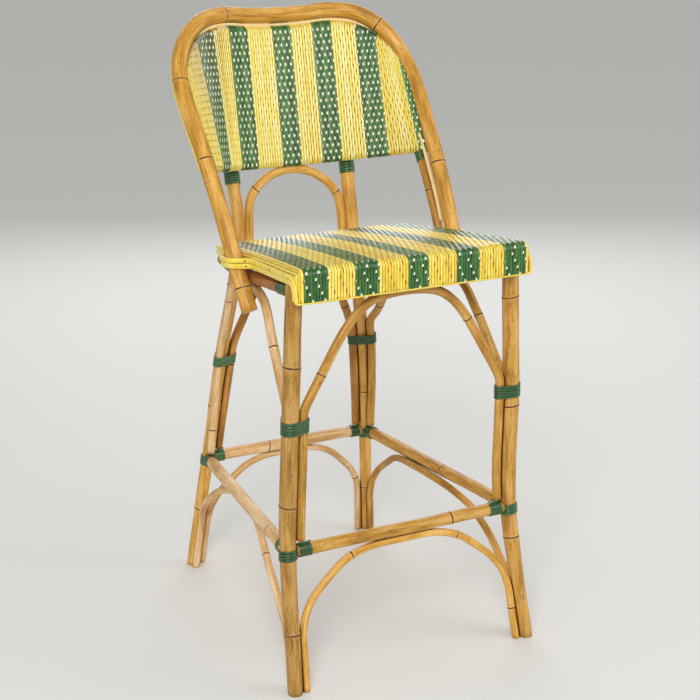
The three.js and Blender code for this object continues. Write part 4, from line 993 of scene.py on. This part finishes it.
def seat_profile():
    """The side view of the seat: up the apron, along the top and down behind, as points and normals, and lengths."""
    out = []
    roll_y, roll_z = SEAT_FRONT_Y + SEAT_ROLL, seat_top(SEAT_FRONT_Y + SEAT_ROLL) - SEAT_ROLL
    for z in np.linspace(APRON_BOTTOM_Z - 1, roll_z, 12, endpoint=False):
        out.append((SEAT_FRONT_Y, z, -1, 0))
    for a in np.linspace(0, math.pi / 2, 8, endpoint=False):
        out.append((roll_y - SEAT_ROLL * math.cos(a), roll_z + SEAT_ROLL * math.sin(a), -math.cos(a), math.sin(a)))
    back_y = SEAT_REAR_Y - SEAT_ROLL
    for y in np.linspace(roll_y, back_y, 60, endpoint=False):
        out.append((y, seat_top(y), 0, 1))
    back_z = seat_top(back_y) - SEAT_ROLL
    for a in np.linspace(0, math.pi / 2, 6):
        out.append((back_y + SEAT_ROLL * math.sin(a), back_z + SEAT_ROLL * math.cos(a), math.sin(a), math.cos(a)))
    out = np.array(out)
    return out, lengths_along(out[:, :2])


PROFILE, PROFILE_S = seat_profile()
SEAT_FLAT_HALF = SEAT_FRONT_HALF - SEAT_ROLL
SEAT_EDGE = SEAT_FLAT_HALF + SEAT_ROLL * math.pi / 2


def seat_point(offset, s):
    """A point of the woven seat and its outward normal: offset counts across from the middle, at the front, and s
    along a strand."""
    y, z, ny, nz = (float(np.interp(s, PROFILE_S, PROFILE[:, k])) for k in range(4))
    flat_half = half_width(min(max(y, SEAT_FRONT_Y), SEAT_REAR_Y)) - SEAT_ROLL
    side = 1 if offset > 0 else -1
    beyond = max(0.0, abs(offset) - SEAT_FLAT_HALF)
    angle = min(math.pi / 2, beyond / SEAT_ROLL)
    x = min(abs(offset), SEAT_FLAT_HALF) / SEAT_FLAT_HALF * flat_half
    depth = min(1.0, max(0.0, (y - SEAT_FRONT_Y) / (SEAT_REAR_Y - SEAT_FRONT_Y)))
    crown = SEAT_CROWN * nz * math.sin(math.pi * depth)
    norm = math.hypot(ny, nz) or 1
    ny, nz = ny / norm, nz / norm
    drop = SEAT_ROLL * (1 - math.cos(angle)) + max(0.0, beyond - SEAT_ROLL * math.pi / 2)
    point = np.array([side * (x + SEAT_ROLL * math.sin(angle)), y - ny * drop, z - nz * drop + crown])
    normal = np.array([side * math.sin(angle), ny * math.cos(angle), nz * math.cos(angle)])
    return point, unit(normal)


def on_apron(row):
    return row * SEAT_ROW < APRON_ROWS_END + SEAT_ROW / 2


def seat_opening(i, row):
    """How far the two strands' edges draw back from the gap i in a row of the seat: nothing where it stays shut."""
    if on_apron(row):
        return parts_sparse(i, row) * opens_by(i, SEAT_STRIPES, APRON_OPENS)
    return parts_dense(i, row) * opens_by(i, SEAT_STRIPES, SEAT_OPENS)


def make_woven_seat():
    count = int(SEAT_EDGE / STRAND_PITCH) + 2
    stations = np.arange(0, PROFILE_S[-1], SEAT_ROW / 4)
    long = long_strands(count, SEAT_STRIPES, lambda i: stations, seat_point, SEAT_ROW, seat_opening,
                        lambda s: APRON_HEAVE if s < APRON_ROWS_END else SEAT_HEAVE, STRAND_THICK / 2, UNDER_DEPTH)
    long[True].piece("seat_green_strands", [green_cane], "seat_weave", "woven_seat")
    long[False].piece("seat_yellow_strands", [yellow_cane], "seat_weave", "woven_seat")

    cross = Skein()
    for row in range(0, int(PROFILE_S[-1] / SEAT_ROW) + 1):
        apron = on_apron(row)
        s = min(row * SEAT_ROW + APRON_DOT_SHIFT * apron, PROFILE_S[-1])
        cross_strand(cross, range(-count - 1, count), SEAT_STRIPES, seat_point, s, seat_opening, row,
                     APRON_CROSS if apron else SEAT_CROSS)
    cross.piece("seat_cross_strands", [cream_cane, tan_painted_shade_cane], "seat_weave", "woven_seat")


# Woven back. Strands run up from the bottom rail, round which they turn, to the hoop.

PANEL_HALF = 0.19 * hoop.length
PANEL_REACH = 286  # strands are laid as far as this to both sides, measured along the hoop
PANEL_LIES = 6.5  # how far in front of the line from rail to hoop the strands lie
PANEL_BEFORE_RAIL = 10.8
PANEL_TURN_R = 9.6
PANEL_TURN = PANEL_TURN_R * math.pi / 2
FOOT_SHIFT = 12  # the strands in the middle stand a little more to the left on the rail than on the hoop
PLAIN_HEAD = 26  # the length of strands without cross strands at the hoop
DIVE_FROM, DIVE_TO, DIVE_LIES = 29, 19, -4.0  # near the hoop the strands pass down behind the beading
FOOT_HALF = [tuple(hoop.at(hoop_length_at(PANEL_SIDE_Z)))]
FOOT_HALF += [(x, y - PANEL_BEFORE_RAIL, z) for x, y, z in RAIL_HALF[1:]]
panel_foot = Path(both_halves(FOOT_HALF))


def back_strand_ends(offset):
    """Where the strand at an offset starts over the bottom rail and ends on the hoop, and its normal forward."""
    share = offset / PANEL_HALF
    foot_s = panel_foot.length * (1 + share) / 2 - FOOT_SHIFT * (1 - share**2)
    foot = panel_foot.at(foot_s)
    head = hoop.at(hoop.length / 2 + offset)
    normal = unit(np.cross(panel_foot.tangent(foot_s), unit(head - foot)))
    return foot, head, normal if normal[1] < 0 else -normal


def panel_point(offset, s):
    """A point of the woven back and its normal to the sitter: s counts up from the turn under the bottom rail."""
    foot, head, normal = back_strand_ends(offset)
    if s < PANEL_TURN:
        angle = (1 - s / PANEL_TURN) * math.pi / 2
        turned = unit(normal * math.cos(angle) + np.array([0, 0, -1.0]) * math.sin(angle))
        return foot + normal * (PANEL_LIES - PANEL_TURN_R) + turned * PANEL_TURN_R, turned
    length = np.linalg.norm(head - foot)
    share = min(1.0, (s - PANEL_TURN) / length)
    dived = min(1.0, max(0.0, (DIVE_FROM - length * (1 - share)) / (DIVE_FROM - DIVE_TO)))
    lies = PANEL_LIES + (DIVE_LIES - PANEL_LIES) * dived**2 * (3 - 2 * dived)
    return foot + normal * lies + (head - foot) * share, normal


def make_woven_back():
    count = int(PANEL_REACH / STRAND_PITCH)
    lengths = {}
    for i in range(-count - 2, count + 3):
        foot, head, _ = back_strand_ends(i * STRAND_PITCH)
        lengths[i] = PANEL_TURN + np.linalg.norm(head - foot)

    def opening(i, row):
        if not (parts_dense(i, row) and 0 < row * BACK_ROW < lengths[i] - PLAIN_HEAD):
            return 0.0
        return opens_by(i, BACK_STRIPES, BACK_OPENS)

    long = long_strands(count, BACK_STRIPES, lambda i: np.arange(0, lengths[i], BACK_ROW / 4), panel_point, BACK_ROW,
                        opening, lambda s: BACK_HEAVE, 0.0, UNDER_DEPTH - STRAND_THICK / 2)
    long[True].piece("back_green_strands", [green_cane_painted_sheen], "back_weave", "woven_back")
    long[False].piece("back_yellow_strands", [yellow_cane_painted_sheen], "back_weave", "woven_back")

    cross = Skein()
    for row in range(1, int((lengths[0] - PLAIN_HEAD) / BACK_ROW) + 1):
        s = row * BACK_ROW
        gaps = [k for k in range(-count - 1, count + 1) if lengths[k] - PLAIN_HEAD >= s]
        if len(gaps) > 1:
            cross_strand(cross, gaps, BACK_STRIPES, panel_point, s, opening, row, BACK_CROSS)
    cross.piece("back_cross_strands", [cream_cane, tan_painted_shade_cane], "back_weave", "woven_back")


# Edge bands of the seat.

BAND_LIE = BAND_THICK / 2 + 1.1
BAND_TURN = 18
BAND_BULGE = 38
BAND_BULGE_BACK = 8
BAND_OFF_HOOP = 0.5


def band_path(below, turn_radius):
    """The run of a band on the left: along the side of the seat, out round the hoop, and down the end of the apron.
    Each place has a point, and the directions outward and across."""
    path = []
    turn_y = SEAT_FRONT_Y + BAND_TURN + 1.5 * BAND_WIDTH + 2 * GAP
    here = hoop.at(hoop_length_at(band_z(hoop_at_seat[1], below)))
    swing = here[0] + HOOP_RING_R + BAND_THICK / 2 + BAND_OFF_HOOP
    bulge_y = here[1] + BAND_BULGE_BACK
    for y in np.linspace(SEAT_REAR_Y - SEAT_ROLL, turn_y, 100):
        bulge = math.exp(-(((y - bulge_y) / BAND_BULGE) ** 4))
        x = half_width(y) + BAND_LIE
        path.append((-(x + (swing - x) * bulge), y, band_z(y, below), (-1, 0, 0), (0, 0, 1)))
    low = band_z(turn_y, below)
    for a in np.linspace(0, math.pi / 2, 12)[1:]:
        y = turn_y - turn_radius * math.sin(a)
        z = low - turn_radius * (1 - math.cos(a))
        path.append((-(half_width(y) + BAND_LIE), y, z, (-1, 0, 0), (0, -math.sin(a), math.cos(a))))
    return path


def band_rings(path):
    return [band_ring(np.array(p[:3]), np.array(p[3], float), np.array(p[4], float)) for p in path]


def flipped(rings):
    return [r * np.array([-1, 1, 1]) for r in rings][::-1]


def band_piece(name, rings, node_name, tone):
    along = lengths_along([ring[0] for ring in rings])
    lone_cane(name, yellow_cane, node_name, "yellow_edge_cane", rings, BAND_AROUND, along, tone=tone)


def make_seat_bands():
    path = band_path(0, BAND_TURN + BAND_APART)
    x, y = path[-1][0], path[-1][1]
    for a in np.linspace(0, math.pi / 2, 7):
        path.append((x + 2 * BAND_LIE * (1 - math.cos(a)), y, APRON_BOTTOM_Z - BAND_LIE * math.sin(a),
                     (-math.cos(a), 0, -math.sin(a)), (0, -1, 0)))
    rings = band_rings(path)
    band_piece("seat_outer_band_cane", rings + flipped(rings), "seat_band_outer", 0.45)
    path = band_path(BAND_APART, BAND_TURN)
    path.append((path[-1][0], path[-1][1], APRON_BOTTOM_Z, (-1, 0, 0), (0, -1, 0)))
    rings = band_rings(path)
    for word, these in (("left", rings), ("right", flipped(rings))):
        band_piece(f"seat_inner_band_cane_{word}", these, f"seat_band_inner_{word}", 0.55)


# Brads: three small dark heads on each side, where the bands leave the hoop, and farther forward on the upper band.

BRAD_PLACES = [(-27, 0), (-31.8, BAND_APART), (-137, 0)]  # depth, and how far below the upper band
BRAD_SHAPE = [(-0.8, 1.7), (0.2, 1.7), (0.7, 1.2), (0.9, 0.5)]  # how far out each ring of a head lies, and its radius


def make_brads():
    sides = 10
    for word, side in (("left", -1), ("right", 1)):
        skein = Skein()
        for y, below in BRAD_PLACES:
            path = np.array([p[:3] for p in band_path(below, BAND_TURN)])
            x = -float(np.interp(-y, -path[:, 1], path[:, 0]))
            centre = np.array([side * (x + BAND_THICK / 2), y, band_z(y, below)])
            circle = round_section(sides)[::side]
            rings = [[centre + np.array([side * lift, a * radius, b * radius]) for a, b in circle]
                     for lift, radius in BRAD_SHAPE]
            skein.loft(rings, np.linspace(0, 0.01, sides), np.arange(len(rings)) * MM, tone=0.5)
        skein.piece(f"brad_heads_{word}", [dark_brass])


# Bindings: one flat strip of cane each, laid tight round the canes that it ties.

BINDING_OFF = 0.2  # how far off the canes the strip's inner face lies
BINDING_TUCK = 3.0
LEG_BINDING_TURNS = 4
POST_BINDING_TURNS = 5
SIDE_POST_BINDING_TURNS = 4
SEAT_RAIL_BINDING_TURNS = 9
SEAT_RAIL_BINDING_Z = 700
SIDE_RAIL_STRAIGHT = 60  # the first stretch of a side rail runs straight
BINDING_OVER_END = 2  # a foot rail's binding starts a little before the rail's end
BINDING_UNDER_RAIL = 0.8
RAIL_BINDING_TURNS = {"front": (5, 5), "rear": (4, 4), "left": (3, 4), "right": (3, 4)}
LOOP_STEP = math.radians(15)


def taut_loop(circles):
    """The outline of a tight loop round circles, as angle, x and y."""
    fine = 1440
    angle = (np.arange(fine) + 0.5) / fine * 2 * math.pi
    reach = np.array([c[0] * np.cos(angle) + c[1] * np.sin(angle) + c[2] for c in circles])
    owner = reach.argmax(axis=0)
    changes = [k for k in range(fine) if owner[k] != owner[k - 1]]
    k = changes[0] if changes else 0
    out = []
    for nearest, run in itertools.groupby(np.roll(owner, -k)):
        count = len(list(run))
        cx, cy, cr = circles[nearest]
        start, sweep = k / fine * 2 * math.pi, count / fine * 2 * math.pi
        steps = max(1, math.ceil(sweep / LOOP_STEP))
        for q in range(steps + (1 if changes else 0)):
            a = start + sweep * q / steps
            out.append((a, cx + cr * math.cos(a), cy + cr * math.sin(a)))
        k += count
    return out


def binding(word, centre, axis, members, turns):
    """A strip wound round the poles that pass through the members' points, with their radii."""
    e1 = np.array((1, 0, 0) if abs(axis[2]) > 0.7 else (0, 0, 1), float)
    e1 = unit(e1 - axis * np.dot(e1, axis))
    e2 = np.cross(axis, e1)
    circles = [((p - centre) @ e1, (p - centre) @ e2, r + BINDING_OFF + BINDING_THICK / 2) for p, r in members]
    loop = taut_loop(circles)
    centres, outs = [], []
    for turn in range(turns):
        for a, x, y in loop:
            climbed = turn + (a - loop[0][0]) / (2 * math.pi)
            centres.append(centre + e1 * x + e2 * y + axis * (climbed - turns / 2) * BINDING_PITCH)
            outs.append(e1 * math.cos(a) + e2 * math.sin(a))
    # Both ends tuck in under the turns.
    centres = [centres[0] - outs[0] * BINDING_TUCK] + centres + [centres[-1] - outs[-1] * BINDING_TUCK]
    outs = [outs[0]] + outs + [outs[-1]]
    sides = 8
    section = round_section(sides) * (BINDING_THICK / 2, BINDING_PITCH * 0.49)
    rings = [c + section[:, :1] * o - section[:, 1:] * axis for c, o in zip(centres, outs)]
    # The strip's edges, between the turns, are darkened with painted shade.
    lone_cane(f"binding_{word}", binding_green, f"winding_{word}", "green_binding", rings,
              turns_of(sides) * BINDING_R, lengths_along(centres), tone=rng.uniform(0, 1),
              groove=np.abs(np.sin(turns_of(sides))) ** 6)


def pole_binding(word, path, z, radius, turns):
    """A binding round one upright pole, at a height."""
    centre = path.at_height(z)
    binding(word, centre, path.tangent_at_height(z), [(centre, radius)], turns)


def rail_binding(word, start, end, radius, begin, turns):
    axis = unit(end - start)
    centre = start + axis * (begin + turns * BINDING_PITCH / 2 + BINDING_R + GAP)
    binding(word, centre, axis, [(centre, radius)], turns)


def make_leg_bindings(word, other):
    for end, far, z, turns in (("front", "rear", FRONT_WRAP_Z, FRONT_BRACE_TURNS),
                               ("rear", "front", REAR_WRAP_Z, REAR_BRACE_TURNS)):
        key = f"{end}_{word}"
        leg = legs[key]
        turned = turn_at(z) if end == "rear" else 0.0
        members = [(leg.at_height(z), leg_radius(key, z)),
                   (beside(key, f"{end}_{other}", z, UPPER_ARCH_R), UPPER_ARCH_R),
                   (beside(key, f"{far}_{word}", z, UPPER_ARCH_R, turned), UPPER_ARCH_R)]
        binding(f"brace_{key}", leg.at_height(z), leg.tangent_at_height(z), members, turns)
        low = FOOT_RAIL_Z - BINDING_PITCH
        pole_binding(f"leg_{key}", leg, low, leg_radius(key, low), LEG_BINDING_TURNS)


def make_back_bindings(word):
    z = PANEL_BOTTOM_Z - PANEL_RAIL_R - POST_BINDING_TURNS / 2 * BINDING_PITCH - BINDING_R - BINDING_UNDER_RAIL
    pole_binding(f"post_{word}", legs[f"rear_{word}"], z, leg_radius("rear", z), POST_BINDING_TURNS)
    z = PANEL_SIDE_Z - PANEL_RAIL_R - SIDE_POST_BINDING_TURNS / 2 * BINDING_PITCH - 2 * BINDING_R
    pole_binding(f"side_post_{word}", side_posts[word], z, SIDE_POST_R, SIDE_POST_BINDING_TURNS)


def make_bindings():
    for word, other in (("left", "right"), ("right", "left")):
        make_leg_bindings(word, other)
        make_back_bindings(word)
        rail = side_rails[word]
        rail_binding(f"seat_rail_{word}", rail.at(0), rail.at(SIDE_RAIL_STRAIGHT), SEAT_RAIL_R,
                     leg_radius("front", SEAT_RAIL_BINDING_Z) + 2 * GAP, SEAT_RAIL_BINDING_TURNS)
    for where, keys in RUNS.items():
        ends = foot_rail_ends(where)
        for i, key in enumerate(keys):
            rail_binding(f"rail_{where}_at_{key}", ends[i], ends[1 - i], FOOT_RAIL_R,
                         foot_rail_reach(key) - BINDING_OVER_END, RAIL_BINDING_TURNS[where][i])


make_legs()
make_foot_rails()
make_arches()
make_hoop()
make_seat_frame()
make_back_rail_and_arch()
make_woven_seat()
make_woven_back()
make_seat_bands()
make_bindings()
make_brads()
for side in ("left", "right", "front", "rear"):
    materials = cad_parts[f"weave_frame_{side}"].data.materials
    materials.clear()
    materials.append(red_rattan)


# Floor, light and camera.

def make_stage():
    half = 60
    mesh = bpy.data.meshes.new("floor")
    mesh.from_pydata([(-half, -half, 0), (half, -half, 0), (half, half, 0), (-half, half, 0)], [], [(0, 1, 2, 3)])
    floor = bpy.data.objects.new("floor", mesh)
    material, tree, out = new_material("pale_floor")
    shader = node(tree, "ShaderNodeBsdfPrincipled", {"Base Color": linear("#e4e4e2"), "Roughness": 0.8})
    tree.links.new(shader.outputs[0], out.inputs[0])
    mesh.materials.append(material)
    bpy.context.scene.collection.objects.link(floor)


def lamp(name, place, target, size, watts):
    data = bpy.data.lights.new(name, "AREA")
    data.shape = "RECTANGLE"
    data.size, data.size_y = size
    data.energy = watts
    made = bpy.data.objects.new(name, data)
    made.location = place
    made.rotation_euler = Vector(np.subtract(target, place)).to_track_quat("-Z", "Y").to_euler()
    bpy.context.scene.collection.objects.link(made)


def make_lights():
    world = bpy.data.worlds.new("studio")
    world.use_nodes = True
    sky = world.node_tree.nodes["Background"].inputs
    sky[0].default_value = linear("#f4f4f2")
    sky[1].default_value = 0.6
    bpy.context.scene.world = world
    lamp("key", (-1.7, -2.8, 2.4), (0, 0, 0.7), (1.4, 1.4), 70)
    lamp("fill", (2.8, -1.8, 1.8), (0, 0, 0.7), (2.0, 2.0), 26)
    lamp("rear", (1.3, 2.7, 1.75), (0, 0, 0.75), (2.6, 1.2), 30)


def make_camera():
    """The camera stands where the photograph was taken: found from matching points on both sides of the chair."""
    azimuth, elevation, roll = (math.radians(a) for a in (-26.7, 17.2, -0.3))
    distance, focal_px, frame_px, sensor_mm = 2.8489, 1540.7, 700, 36
    target = np.array([0, -LINE_TO_MIDDLE * MM, 0.5237])
    back = np.array([math.sin(azimuth) * math.cos(elevation), -math.cos(azimuth) * math.cos(elevation),
                     math.sin(elevation)])
    right = np.array([math.cos(azimuth), math.sin(azimuth), 0])
    up = np.cross(back, right)
    turned_right = math.cos(roll) * right + math.sin(roll) * up
    turned_up = -math.sin(roll) * right + math.cos(roll) * up
    data = bpy.data.cameras.new("camera")
    data.sensor_width = sensor_mm
    data.lens = focal_px / frame_px * sensor_mm
    data.clip_start, data.clip_end = 0.05, 60
    camera = bpy.data.objects.new("camera", data)
    place = target + back * distance
    rows = [[turned_right[k], turned_up[k], back[k], place[k]] for k in range(3)] + [[0, 0, 0, 1]]
    camera.matrix_world = Matrix(rows)
    bpy.context.scene.collection.objects.link(camera)
    bpy.context.scene.camera = camera


make_stage()
make_lights()
make_camera()
bpy.context.scene.view_settings.view_transform = "Standard"
